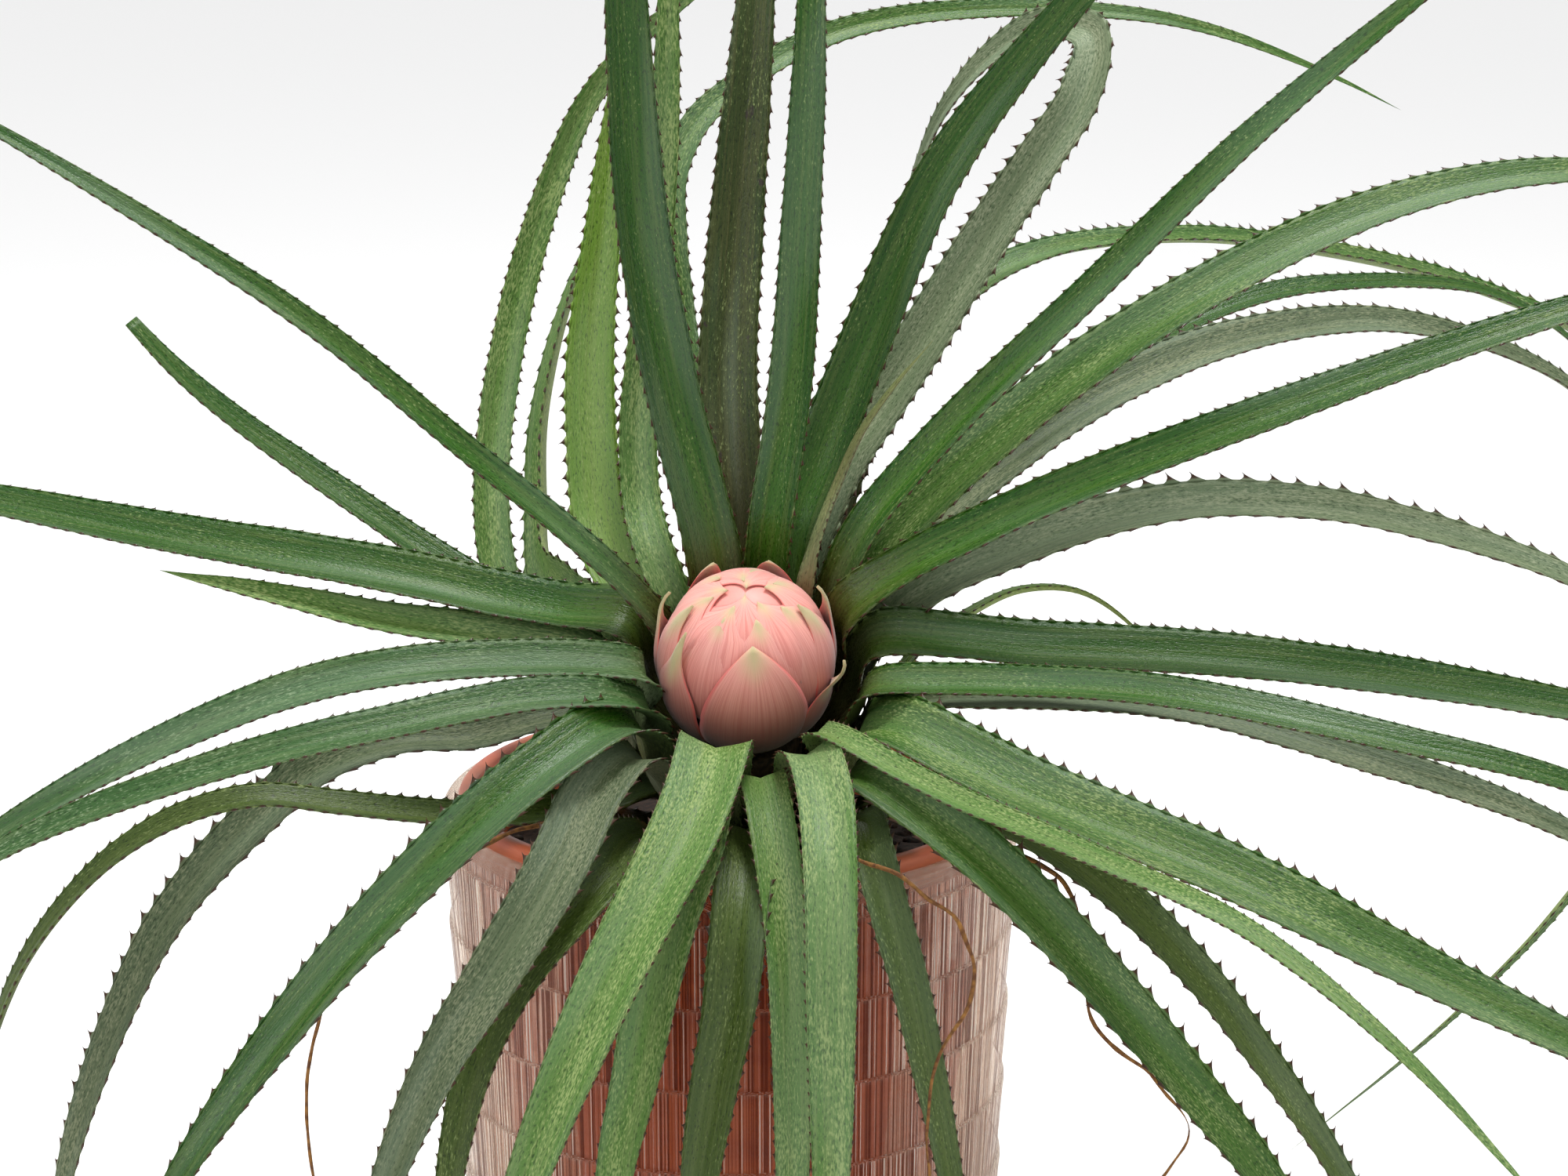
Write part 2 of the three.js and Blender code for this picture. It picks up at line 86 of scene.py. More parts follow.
def smooth(low: float, high: float, value: float) -> float:
    """A smooth step of value from 0 at low to 1 at high."""
    share = min(1.0, max(0.0, (value - low) / (high - low)))
    return share * share * (3 - 2 * share)


def mix(first: float, last: float, share: float) -> float:
    """The value at a share of the way from first to last."""
    return first + (last - first) * share


def catmull(points: list[float] | list[Vector], place: float) -> float | Vector:
    """Follows a smooth line through evenly spaced values.

    Args:
        points: Numbers or vectors, at the places 0, 1, 2 and so on.
        place: Where to read the line.

    Returns:
        The number or vector there.
    """
    last = len(points) - 1
    at = min(max(int(place), 0), last - 1)
    share = place - at
    before = points[at - 1] if at else points[0] * 2 - points[1]
    after = points[at + 2] if at + 2 <= last else points[last] * 2 - points[last - 1]
    start, end = points[at], points[at + 1]
    return 0.5 * (
        start * 2
        + (end - before) * share
        + (before * 2 - start * 5 + end * 4 - after) * share**2
        + (start * 3 - before - end * 3 + after) * share**3
    )


def add_node(
    tree: bpy.types.NodeTree, kind: str, settings: dict, inputs: dict, output: int = 0
) -> bpy.types.NodeSocket | None:
    """Adds a shader node with its settings and links.

    Args:
        tree: The node tree.
        kind: The node's type.
        settings: Its properties, by name.
        inputs: What goes into its sockets, by name or number: another node's output, or a value.
        output: Which of its outputs to return.

    Returns:
        That output socket, or None on a node that has none.
    """
    node = tree.nodes.new(kind)
    for name, value in settings.items():
        setattr(node, name, value)
    for name, value in inputs.items():
        if isinstance(value, bpy.types.NodeSocket):
            tree.links.new(value, node.inputs[name])
        else:
            node.inputs[name].default_value = value
    return node.outputs[output] if node.outputs else None


def new_material(name: str) -> bpy.types.Material:
    """A node material with an empty tree."""
    material = bpy.data.materials.new(name)
    material.use_nodes = True
    material.node_tree.nodes.clear()
    return material


def finish_piece(
    mesh: bmesh.types.BMesh, name: str, material: bpy.types.Material, nodes: list[str]
) -> None:
    """Turns a finished bmesh into a smooth piece that rides on the plant and stands for its CAD nodes.

    Args:
        mesh: The geometry, in place and in metres. It is freed.
        name: The piece's name.
        material: Its finish.
        nodes: The CAD nodes that it replaces.
    """
    data = bpy.data.meshes.new(name)
    mesh.to_mesh(data)
    mesh.free()
    data.shade_smooth()
    data.materials.append(material)
    piece = bpy.data.objects.new(name, data)
    bpy.context.scene.collection.objects.link(piece)
    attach(piece, BODY)
    if nodes:
        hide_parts(*nodes)
    LOG.info("%s: %d faces", name, len(data.polygons))


def append_mesh(mesh: bmesh.types.BMesh, extra: bmesh.types.BMesh) -> None:
    """Adds one bmesh to another and frees it."""
    carrier = bpy.data.meshes.new("carrier")
    extra.to_mesh(carrier)
    extra.free()
    mesh.from_mesh(carrier)
    bpy.data.meshes.remove(carrier)


def new_skin() -> bmesh.types.BMesh:
    """An empty bmesh with the layers that the leaf and bract finishes read: "place", "blade" and "spine"."""
    mesh = bmesh.new()
    for name in ("place", "blade"):
        mesh.verts.layers.float_vector.new(name)
    mesh.verts.layers.float.new("spine")
    return mesh


def grid_shell(across: int, along: int) -> bmesh.types.BMesh:
    """A closed double sheet whose vertices carry their own place on it, for a leaf or a bract.

    Args:
        across: Number of faces from margin to margin.
        along: Number of faces from foot to tip.

    Returns:
        A skin whose layer "place" holds across from -1 to 1, along from 0 to 1, and 1 on the under side.
    """
    mesh = new_skin()
    place = mesh.verts.layers.float_vector["place"]
    bmesh.ops.create_grid(mesh, x_segments=across, y_segments=along, size=0.5)
    for vertex in mesh.verts:
        vertex[place] = Vector((2 * vertex.co.x, vertex.co.y + 0.5, 1))
    doubled = bmesh.ops.extrude_face_region(mesh, geom=mesh.faces[:], use_keep_orig=True)
    for item in doubled["geom"]:
        if isinstance(item, bmesh.types.BMVert):
            item[place].z = 0
            item.co.z = 0.01
    bmesh.ops.recalc_face_normals(mesh, faces=mesh.faces[:])
    return mesh


# ------------------------------------------------------------------------------------------------ finishes


@dataclass(frozen=True)
class Coat:
    """One tint laid over a finish where a pattern, or a place on the piece, calls for it."""

    where: bpy.types.NodeSocket
    start: float  # the value at which the coat begins
    full: float  # the value at which it is strongest
    strength: float
    tint: str
    blend: str = "MIX"
    edge: str = "SMOOTHSTEP"


def lay_coats(
    tree: bpy.types.NodeTree, colour: bpy.types.NodeSocket | tuple, coats: tuple[Coat, ...]
) -> bpy.types.NodeSocket:
    """Lays coats over a ground colour, one after another. A coat with no strength is left out.

    Args:
        tree: The node tree.
        colour: The ground, as another node's output or as linear RGBA.
        coats: The coats, from the lowest to the top one.

    Returns:
        The finished colour's socket.
    """
    for coat in coats:
        if not coat.strength:
            continue
        mask = add_node(
            tree,
            "ShaderNodeMapRange",
            {"interpolation_type": coat.edge},
            {0: coat.where, 1: coat.start, 2: coat.full, 3: 0.0, 4: coat.strength},
        )
        colour = add_node(
            tree,
            "ShaderNodeMix",
            {"data_type": "RGBA", "blend_type": coat.blend},
            {0: mask, 6: colour, 7: linear(coat.tint)},
            2,
        )
    return colour


@dataclass(frozen=True)
class LeafFinish:
    """A bromeliad leaf: a green skin under pale absorbent scales, which lie in flecks and streaks along it.

    The upper face is smooth and catches long narrow highlights, the under side is grey and matt with scales,
    and the teeth turn brown and horny towards their points. A paler band along the channel is a painted
    highlight, long bluish patches are a painted sheen, and the foot is painted dark as shade in the crown.
    """

    name: str
    upper: str
    # the colour of the painted highlight along the channel
    channel_highlight: str
    under: str
    scales: str = "#98a76c"
    foot: str = "#4a3b22"
    scaly: float = 0.35
    # how strong the painted highlight along the channel is near the foot
    channel_highlight_share: float = 0.5
    foot_share: float = 0.09
    blotches: float = 0.0
    # how strong the painted bluish sheen is
    painted_sheen_strength: float = 0.14
    gloss: float = 0.34
    tooth: str = "#38200f"
    shade: str = "#4f6a3c"
    scar: str = "#2b1a22"
    # the colour of the painted bluish sheen
    painted_sheen: str = "#8b9f8a"
    # very dark, for the painted shade where the foot sinks into the crown
    hollow: str = "#1a140c"
    margin: str = "#5d6a3a"

    def material(self) -> bpy.types.Material:
        """Builds the finish from the piece's own "place", "blade" and "spine" attributes."""
        material = new_material(self.name)
        tree = material.node_tree
        place = add_node(tree, "ShaderNodeAttribute", {"attribute_name": "place"}, {}, 1)
        blade = add_node(tree, "ShaderNodeAttribute", {"attribute_name": "blade"}, {}, 1)
        spine = add_node(tree, "ShaderNodeAttribute", {"attribute_name": "spine"}, {}, 2)
        apart = add_node(tree, "ShaderNodeSeparateXYZ", {}, {0: place})
        across, along, under = (apart.node.outputs[i] for i in range(3))
        off_centre = add_node(tree, "ShaderNodeMath", {"operation": "ABSOLUTE"}, {0: across})

        # Blade coordinates are millimetres across and along, so a pattern is scaled by one over the size of
        # its marks: flecks of scales 0.3 by 1 mm, streaks 0.8 by 33 mm, clouds 6 by 29 mm, painted sheen 8 by
        # 83 mm and scars 5 by 8 mm.
        flecks, streaks, clouds, sheen_patches, spots = (
            add_node(
                tree,
                "ShaderNodeTexNoise",
                {},
                {
                    "Vector": add_node(
                        tree, "ShaderNodeVectorMath", {"operation": "MULTIPLY"}, {0: blade, 1: (*per_mm, 1)}
                    ),
                    "Scale": 1,
                    "Detail": detail,
                },
            )
            for per_mm, detail in (
                ((3.0, 0.9), 3),
                ((1.3, 0.03), 2),
                ((0.16, 0.035), 2),
                ((0.13, 0.012), 1),
                ((0.22, 0.12), 4),
            )
        )

        # A painted highlight lies in a paler band along the channel and fades away from the foot.
        fade = add_node(
            tree, "ShaderNodeMapRange", {}, {0: along, 1: 0.1, 2: 0.75, 3: self.channel_highlight_share, 4: 0.12}
        )
        band = add_node(
            tree, "ShaderNodeMapRange", {"interpolation_type": "SMOOTHSTEP"}, {0: off_centre, 1: 0.75, 2: 0.1}
        )
        band = add_node(tree, "ShaderNodeMath", {"operation": "MULTIPLY"}, {0: band, 1: fade})
        green = add_node(
            tree,
            "ShaderNodeMix",
            {"data_type": "RGBA"},
            {0: band, 6: linear(self.upper), 7: linear(self.channel_highlight)},
            2,
        )

        # Scales lie denser where the clouds are and on the under side.
        density = add_node(
            tree, "ShaderNodeMapRange", {}, {0: clouds, 1: 0.35, 2: 0.68, 3: -0.08, 4: 0.10 * self.scaly}
        )
        density = add_node(
            tree, "ShaderNodeMath", {"operation": "MULTIPLY_ADD"}, {0: under, 1: 0.08, 2: density}
        )
        flecked = add_node(tree, "ShaderNodeMath", {"operation": "ADD"}, {0: flecks, 1: density})
        foot = add_node(tree, "ShaderNodeMath", {"operation": "MULTIPLY_ADD"}, {0: clouds, 1: 0.08, 2: along})

        # A painted bluish sheen lies in long patches, the foot is brown and painted dark as shade in the
        # crown, and the margin is dry.
        colour = lay_coats(
            tree,
            green,
            (
                Coat(streaks, 0.42, 0.68, 0.45, self.under, edge="LINEAR"),
                Coat(under, 0.0, 1.0, 1.0, self.under, edge="LINEAR"),
                Coat(flecked, 0.60 - 0.12 * self.scaly, 0.76 - 0.08 * self.scaly, 0.55, self.scales),
                Coat(flecks, 0.45, 0.30, 0.7, self.shade, blend="MULTIPLY"),
                Coat(spots, 0.66, 0.70, self.blotches, self.scar, edge="LINEAR"),
                # painted bluish sheen in long patches
                Coat(sheen_patches, 0.48, 0.62, self.painted_sheen_strength, self.painted_sheen, edge="LINEAR"),
                Coat(foot, self.foot_share + 0.2, 0.12, 0.85, self.foot),
                # painted shade: the foot turns very dark where it sinks into the crown
                Coat(along, 0.2, 0.1, 0.95, self.hollow),
                Coat(off_centre, 0.93, 1.0, 0.35, self.margin),
                Coat(spine, 0.12, 0.42, 1.0, self.tooth),
            ),
        )
        rough = add_node(
            tree,
            "ShaderNodeMapRange",
            {},
            {0: flecked, 1: 0.35, 2: 0.75, 3: self.gloss, 4: self.gloss + 0.25},
        )
        rough = add_node(tree, "ShaderNodeMath", {"operation": "MULTIPLY_ADD"}, {0: under, 1: 0.2, 2: rough})
        relief = add_node(tree, "ShaderNodeMath", {"operation": "ADD"}, {0: flecks, 1: streaks})
        bump = add_node(tree, "ShaderNodeBump", {}, {"Strength": 0.5, "Distance": 0.0004, "Height": relief})
        shader = add_node(
            tree,
            "ShaderNodeBsdfPrincipled",
            {},
            {
                "Base Color": colour,
                "Roughness": rough,
                "Normal": bump,
                "IOR": 1.4,
                "Specular IOR Level": 0.38,
            },
        )
        add_node(tree, "ShaderNodeOutputMaterial", {}, {"Surface": shader})
        return material


@dataclass(frozen=True)
class BractFinish:
    """A flower bract: a salmon-pink waxy skin with fine veins that fan out from a felted, greenish point."""

    name: str = "bract_waxy_skin"
    skin: str = "#ea8f86"
    vein: str = "#c25a54"
    # the colour of the painted highlight towards the point
    painted_sheen: str = "#f6b3a6"
    point: str = "#bdb184"
    edge: str = "#d8524f"
    shade: str = "#7c3d2f"

    def material(self) -> bpy.types.Material:
        """Builds the finish from the piece's own "place", "blade" and "spine" attributes."""
        material = new_material(self.name)
        tree = material.node_tree
        place = add_node(tree, "ShaderNodeAttribute", {"attribute_name": "place"}, {}, 1)
        blade = add_node(tree, "ShaderNodeAttribute", {"attribute_name": "blade"}, {}, 1)
        horn = add_node(tree, "ShaderNodeAttribute", {"attribute_name": "spine"}, {}, 2)
        apart = add_node(tree, "ShaderNodeSeparateXYZ", {}, {0: place})
        across, along = (apart.node.outputs[i] for i in range(2))
        off_centre = add_node(tree, "ShaderNodeMath", {"operation": "ABSOLUTE"}, {0: across})
        from_apex = add_node(tree, "ShaderNodeSeparateXYZ", {}, {0: blade}, 1)  # in mm, over the bud's skin

        # Veins run from the point to the foot at a steady share of the width, about forty of them in a bract.
        vein_at = add_node(
            tree, "ShaderNodeVectorMath", {"operation": "MULTIPLY"}, {0: place, 1: (44, 1.1, 1)}
        )
        seeded = add_node(tree, "ShaderNodeVectorMath", {"operation": "MULTIPLY"}, {0: blade, 1: (0, 0, 1)})
        vein_at = add_node(tree, "ShaderNodeVectorMath", {"operation": "ADD"}, {0: vein_at, 1: seeded})
        veins = add_node(tree, "ShaderNodeTexNoise", {}, {"Vector": vein_at, "Scale": 1, "Detail": 3})
        clouds = add_node(tree, "ShaderNodeTexNoise", {}, {"Vector": blade, "Scale": 0.12, "Detail": 2})

        # A painted highlight pales the skin towards the point. The felt covers the point, and more of a
        # drawn-out one.
        lit = add_node(tree, "ShaderNodeMapRange", {}, {0: along, 1: 0.25, 2: 0.9, 3: 0.1, 4: 0.65})
        lit = add_node(tree, "ShaderNodeMath", {"operation": "MULTIPLY_ADD"}, {0: clouds, 1: 0.25, 2: lit})
        pink = add_node(
            tree,
            "ShaderNodeMix",
            {"data_type": "RGBA"},
            {0: lit, 6: linear(self.skin), 7: linear(self.painted_sheen)},
            2,
        )
        felt = add_node(
            tree, "ShaderNodeMath", {"operation": "MULTIPLY_ADD"}, {0: off_centre, 1: -0.16, 2: along}
        )
        felt = add_node(tree, "ShaderNodeMath", {"operation": "MULTIPLY_ADD"}, {0: horn, 1: 0.22, 2: felt})
        colour = lay_coats(
            tree,
            pink,
            (
                Coat(veins, 0.42, 0.62, 0.42, self.vein, edge="LINEAR"),
                Coat(from_apex, 14, 42, 1.0, self.shade),
                Coat(off_centre, 0.88, 1.0, 0.7, self.edge),
                Coat(felt, 0.68, 0.96, 0.95, self.point),
            ),
        )
        bump = add_node(tree, "ShaderNodeBump", {}, {"Strength": 0.3, "Distance": 0.0003, "Height": veins})
        shader = add_node(
            tree,
            "ShaderNodeBsdfPrincipled",
            {},
            {
                "Base Color": colour,
                "Roughness": 0.48,
                "Normal": bump,
                "IOR": 1.42,
                "Sheen Weight": 0.25,
                "Sheen Roughness": 0.5,
                "Subsurface Weight": 0.08,
                "Subsurface Scale": 0.002,
            },
        )
        add_node(tree, "ShaderNodeOutputMaterial", {}, {"Surface": shader})
        return material


@dataclass(frozen=True)
class GlassFinish:
    """Pressed soda glass, fire-polished: nearly colourless, with light and dark lines along its ribs, painted
    as glints and shade.
    """

    name: str = "pressed_soda_glass"
    cast: str = "#fdf6ec"
    rib_shade: str = "#7a5547"
    gleam: str = "#fff3e6"
    clearness: float = 0.6  # how much is seen straight through, past the bending of the ribs
    gleaming: float = 0.38  # how strongly the brightest ribs shine

    def material(self) -> bpy.types.Material:
        """Builds the glass from the piece's own "wall" and "ledge" attributes."""
        material = new_material(self.name)
        tree = material.node_tree
        wall = add_node(tree, "ShaderNodeAttribute", {"attribute_name": "wall"}, {}, 1)
        ledge = add_node(tree, "ShaderNodeAttribute", {"attribute_name": "ledge"}, {}, 2)

        # The wall's coordinates are millimetres round the pot and the band: ribs of 0.6 mm, 2 mm and 12 mm.
        fine, broad, block = (
            add_node(
                tree,
                "ShaderNodeTexNoise",
                {},
                {
                    "Vector": add_node(
                        tree, "ShaderNodeVectorMath", {"operation": "DIVIDE"}, {0: wall, 1: (size, 1, 1)}
                    ),
                    "Scale": 1,
                    "Detail": 1,
                },
            )
            for size in (0.6, 2.0, 12.0)
        )
        ribbed = add_node(tree, "ShaderNodeMath", {"operation": "MULTIPLY_ADD"}, {0: broad, 1: 0.6, 2: fine})
        ribbed = add_node(
            tree, "ShaderNodeMath", {"operation": "MULTIPLY_ADD"}, {0: block, 1: 0.15, 2: ribbed}
        )
        # Painted shade darkens ribs and the row above each step; painted glints light fine ribs and the row
        # below.
        dark, bright, low, high = (
            add_node(tree, "ShaderNodeMapRange", {}, {0: where, 1: start, 2: full, 3: 0.0, 4: most})
            for where, start, full, most in (
                (ribbed, 0.83, 0.97, 0.85),
                (fine, 0.42, 0.33, 0.9),
                (ledge, 0.0, -0.8, 0.3),
                (ledge, 0.15, 0.9, 0.14),
            )
        )
        dark = add_node(tree, "ShaderNodeMath", {"operation": "MAXIMUM"}, {0: dark, 1: low})
        bright = add_node(tree, "ShaderNodeMath", {"operation": "MAXIMUM"}, {0: bright, 1: high})
        colour = add_node(
            tree,
            "ShaderNodeMix",
            {"data_type": "RGBA"},
            {0: dark, 6: linear(self.cast), 7: linear(self.rib_shade)},
            2,
        )
        bump = add_node(tree, "ShaderNodeBump", {}, {"Strength": 0.6, "Distance": 0.0003, "Height": ribbed})
        glass = add_node(
            tree,
            "ShaderNodeBsdfPrincipled",
            {},
            {
                "Base Color": colour,
                "Roughness": 0.05,
                "IOR": 1.3,
                "Specular IOR Level": 0.9,
                "Transmission Weight": 1.0,
                "Normal": bump,
            },
        )
        clear = add_node(tree, "ShaderNodeBsdfTransparent", {}, {"Color": colour})
        body = add_node(tree, "ShaderNodeMixShader", {}, {0: self.clearness, 1: glass, 2: clear})
        glint = add_node(
            tree,
            "ShaderNodeBsdfPrincipled",
            {},
            {"Base Color": linear(self.gleam), "Roughness": 0.2, "Normal": bump},
        )
        lit = add_node(tree, "ShaderNodeMath", {"operation": "MULTIPLY"}, {0: bright, 1: self.gleaming})
        body = add_node(tree, "ShaderNodeMixShader", {}, {0: lit, 1: body, 2: glint})
        add_node(tree, "ShaderNodeOutputMaterial", {}, {"Surface": body})
        return material


@dataclass(frozen=True)
class PlasticFinish:
    """Injection-moulded polypropylene in terracotta orange: a satin skin with faint flow marks round it."""

    name: str = "terracotta_polypropylene"
    colour: str = "#d4714a"
    worn: str = "#b9583a"

    def material(self) -> bpy.types.Material:
        """Builds the satin plastic, with flow marks 17 mm long and 2.5 mm high."""
        material = new_material(self.name)
        tree = material.node_tree
        where = add_node(tree, "ShaderNodeTexCoord", {}, {}, 3)
        flow_at = add_node(
            tree, "ShaderNodeVectorMath", {"operation": "MULTIPLY"}, {0: where, 1: (60, 60, 400)}
        )
        flow = add_node(tree, "ShaderNodeTexNoise", {}, {"Vector": flow_at, "Scale": 1, "Detail": 4})
        coats = (Coat(flow, 0.35, 0.7, 1.0, self.worn, edge="LINEAR"),)
        colour = lay_coats(tree, linear(self.colour), coats)
        rough = add_node(tree, "ShaderNodeMapRange", {}, {0: flow, 3: 0.32, 4: 0.5})
        bump = add_node(tree, "ShaderNodeBump", {}, {"Strength": 0.1, "Distance": 0.0003, "Height": flow})
        shader = add_node(
            tree,
            "ShaderNodeBsdfPrincipled",
            {},
            {"Base Color": colour, "Roughness": rough, "Normal": bump, "IOR": 1.49},
        )
        add_node(tree, "ShaderNodeOutputMaterial", {}, {"Surface": shader})
        return material


@dataclass(frozen=True)
class EarthyFinish:
    """A dull, fibrous natural surface: peat, an old stem or a dead leaf, in two browns."""

    name: str
    dark: str
    light: str
    grain_mm: float
    stretch: tuple[float, float, float] = (1, 1, 1)
    relief_mm: float = 0.6

    def material(self) -> bpy.types.Material:
        """Builds the dull surface from noise of the grain's own size."""
        material = new_material(self.name)
        tree = material.node_tree
        where = add_node(tree, "ShaderNodeTexCoord", {}, {}, 3)
        density = 1 / (self.grain_mm * MM)
        scaled = tuple(density * part for part in self.stretch)
        grain_at = add_node(tree, "ShaderNodeVectorMath", {"operation": "MULTIPLY"}, {0: where, 1: scaled})
        grain = add_node(tree, "ShaderNodeTexNoise", {}, {"Vector": grain_at, "Scale": 1, "Detail": 5})
        coats = (Coat(grain, 0.35, 0.68, 1.0, self.light, edge="LINEAR"),)
        colour = lay_coats(tree, linear(self.dark), coats)
        relief = {"Strength": 0.7, "Distance": self.relief_mm * MM, "Height": grain}
        bump = add_node(tree, "ShaderNodeBump", {}, relief)
        shader = add_node(
            tree, "ShaderNodeBsdfPrincipled", {}, {"Base Color": colour, "Roughness": 0.85, "Normal": bump}
        )
        add_node(tree, "ShaderNodeOutputMaterial", {}, {"Surface": shader})
        return material


class Growth(Enum):
    """The ways in which the rosette's leaves look, by age and by how they take the light."""

    DARK = LeafFinish(
        "leaf_dark_glossy",
        "#1c4606",
        "#436f1c",
        "#586b33",
        foot="#553c22",
        scaly=0.2,
        foot_share=0.15,
        gloss=0.26,
    )
    SCALY = LeafFinish("leaf_green_scaly", "#315619", "#567b2e", "#65763f", scaly=0.6, gloss=0.34)
    BLOOM = LeafFinish(
        "leaf_blue_bloom", "#2b4f20", "#507442", "#66774f", scales="#8ea07c", scaly=0.5, gloss=0.32
    )
    GREY = LeafFinish(
        "leaf_grey_scaly", "#47563a", "#5b6a44", "#737a5c", scales="#8a8d70", scaly=0.8, gloss=0.45
    )
    # A lit copy of the grey scaly finish, painted lighter for leaves that take more light, some of them
    # backlit.
    GREY_LIT = LeafFinish(
        "leaf_grey_scaly_lit", "#5f6f50", "#76845f", "#8f9677", scales="#a0a488", scaly=0.8, gloss=0.42
    )
    OLIVE = LeafFinish("leaf_olive", "#3a4e16", "#576a26", "#5f6d38", scaly=0.35, gloss=0.36)
    PALE = LeafFinish(
        "leaf_pale_scaly", "#4a6e2c", "#6d8a48", "#778752", scales="#a0ad70", scaly=0.8, gloss=0.4
    )
    # Brighter colours, painted in place of the light that shines through thin leaves.
    LIME_BACKLIT = LeafFinish(
        "leaf_lime_backlit",
        "#608328",
        "#8ba746",
        "#748740",
        scales="#a9b377",
        scaly=0.3,
        gloss=0.38,
        channel_highlight_share=0.8,
    )
    BROWNED = LeafFinish(
        "leaf_browned",
        "#283a10",
        "#453f1f",
        "#55532e",
        scaly=0.3,
        foot_share=0.28,
        blotches=0.75,
        gloss=0.34,
    )
    TAN = LeafFinish(
        "leaf_tan", "#667040", "#8d7a55", "#8a7a58", scaly=0.5, foot="#b98462", foot_share=0.45, gloss=0.5
    )


# ------------------------------------------------------------------------------------------------- leaves


@dataclass
class Station:
    """One cross-section of a leaf: its middle, its directions, its half width and its margins' rise."""

    middle: Vector
    up: Vector
    side: Vector
    half: float
    rise: float


@dataclass
class LeafRoute:
    """The line and the sections of one leaf, read from its CAD node."""

    node: bpy.types.Object
    stations: list[Station] = field(default_factory=list)
    length: float = 0.0
    sheath_step: float = 6.0 * MM
    sheath_turns: tuple[float, float] = (0.35, 0.75)  # how far each step turns towards the crown's heart
    heart_depth: float = 26.0 * MM  # below the leaf's foot

    def __post_init__(self) -> None:
        """Reads the sections, adds the sheath's and measures the line."""
        rings, tip = self._rings()
        for left, groove, right, keel in rings:
            middle = (groove + keel) / 2
            up = (groove - keel).normalized()
            across = right - left
            rise = ((left + right) / 2 - middle).dot(up)
            self.stations.append(Station(middle, up, across.normalized(), across.length / 2, rise))
        if tip is not None:
            last = self.stations[-1]
            self.stations.append(Station(tip, last.up, last.side, 0.0, 0.0))
        self._add_sheath()
        steps = zip(self.stations, self.stations[1:])
        self.length = sum((b.middle - a.middle).length for a, b in steps)
        self._columns = {
            key: [getattr(station, key) for station in self.stations]
            for key in ("middle", "up", "side", "half", "rise")
        }

    def _add_sheath(self) -> None:
        """Carries the foot on, bending down into the crown, where the sheath clasps the stem."""
        low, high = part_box("stem")
        heart = (low + high) / 2
        heart.z = self.stations[0].middle.z - self.heart_depth
        for turn in self.sheath_turns:
            foot, ahead = self.stations[0], self.stations[1]
            back = (foot.middle - ahead.middle).normalized()
            way = back.lerp((heart - foot.middle).normalized(), turn).normalized()
            up = (foot.up - way * foot.up.dot(way)).normalized()
            side = (foot.side - way * foot.side.dot(way)).normalized()
            middle = foot.middle + way * self.sheath_step
            self.stations.insert(0, Station(middle, up, side, foot.half, foot.rise))

    def _rings(self) -> tuple[list[list[Vector]], Vector | None]:
        """Sorts the node's vertices into sections.

        Returns:
            The sections from the foot on, each as left margin, groove, right margin and keel, and the point
            where the leaf ends, or None if it ends in a section.
        """
        mesh = bmesh.new()
        mesh.from_mesh(self.node.data)
        bmesh.ops.remove_doubles(mesh, verts=mesh.verts[:], dist=1e-6)
        mesh.verts.index_update()
        low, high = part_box("stem")
        crown = (low + high) / 2
        by_distance = sorted(mesh.verts, key=lambda v: (v.co - crown).length)
        pointed = len(mesh.verts) % 4 == 1  # four corners in each section, and the point
        level = [self._point(by_distance[8:])] if pointed else by_distance[-4:]
        levels, seen = [], set(level)
        while level:
            levels.append(level)
            ahead = {edge.other_vert(v) for v in level for edge in v.link_edges}
            level = sorted(ahead - seen, key=lambda v: v.index)  # a set has no order of its own
            seen.update(level)
        levels.reverse()
        tip = levels.pop()[0].co.copy() if pointed else None
        if any(len(ring) != 4 for ring in levels):
            raise ValueError(f"{self.node.name} has a section without four corners")
        sections = self._sorted(levels)
        mesh.free()
        return sections, tip

    @staticmethod
    def _point(outer: list) -> bmesh.types.BMVert:
        """The leaf's point: of the corners with four edges, the one whose edges all run a long way."""
        corners = [v for v in outer if len(v.link_edges) == 4]
        return max(corners, key=lambda v: min(edge.calc_length() for edge in v.link_edges))

    @staticmethod
    def _sorted(levels: list) -> list[list[Vector]]:
        """Names the corners of each section by how the leaf's faces are split between sections."""
        ranks = {v: rank for rank, ring in enumerate(levels) for v in ring}

        def links(vertex: bmesh.types.BMVert, step: int) -> list:
            """The corners of the section a step further on that share an edge with a corner."""
            others = (edge.other_vert(vertex) for edge in vertex.link_edges)
            return [v for v in others if ranks.get(v) == ranks[vertex] + step]

        named = []
        for rank, ring in enumerate(levels):
            step, most = (1, 1) if rank + 1 < len(levels) else (-1, 3)
            left = min(ring, key=lambda v: abs(len(links(v, step)) - most))
            right = max(ring, key=lambda v: abs(len(links(v, step)) - most))
            rest = [v for v in ring if v not in (left, right)]
            if named:
                before = named[-1][1]
                rest.sort(key=lambda v: v not in links(before, 1))
            named.append([left, rest[0], right, rest[1]])
        inner = named[len(named) // 3]
        chord = (inner[0].co + inner[2].co) / 2
        if (inner[1].co - chord).length > (inner[3].co - chord).length:
            named = [[left, keel, right, groove] for left, groove, right, keel in named]
        return [[corner.co.copy() for corner in four] for four in named]

    def at(self, share: float) -> Station:
        """The section at a share of the leaf's length, on smooth lines through the CAD sections."""
        place = share * (len(self.stations) - 1)
        read = {key: catmull(column, place) for key, column in self._columns.items()}
        up = read["up"].normalized()
        side = (read["side"] - up * read["side"].dot(up)).normalized()
        return Station(read["middle"], up, side, max(read["half"], 0.0), read["rise"])


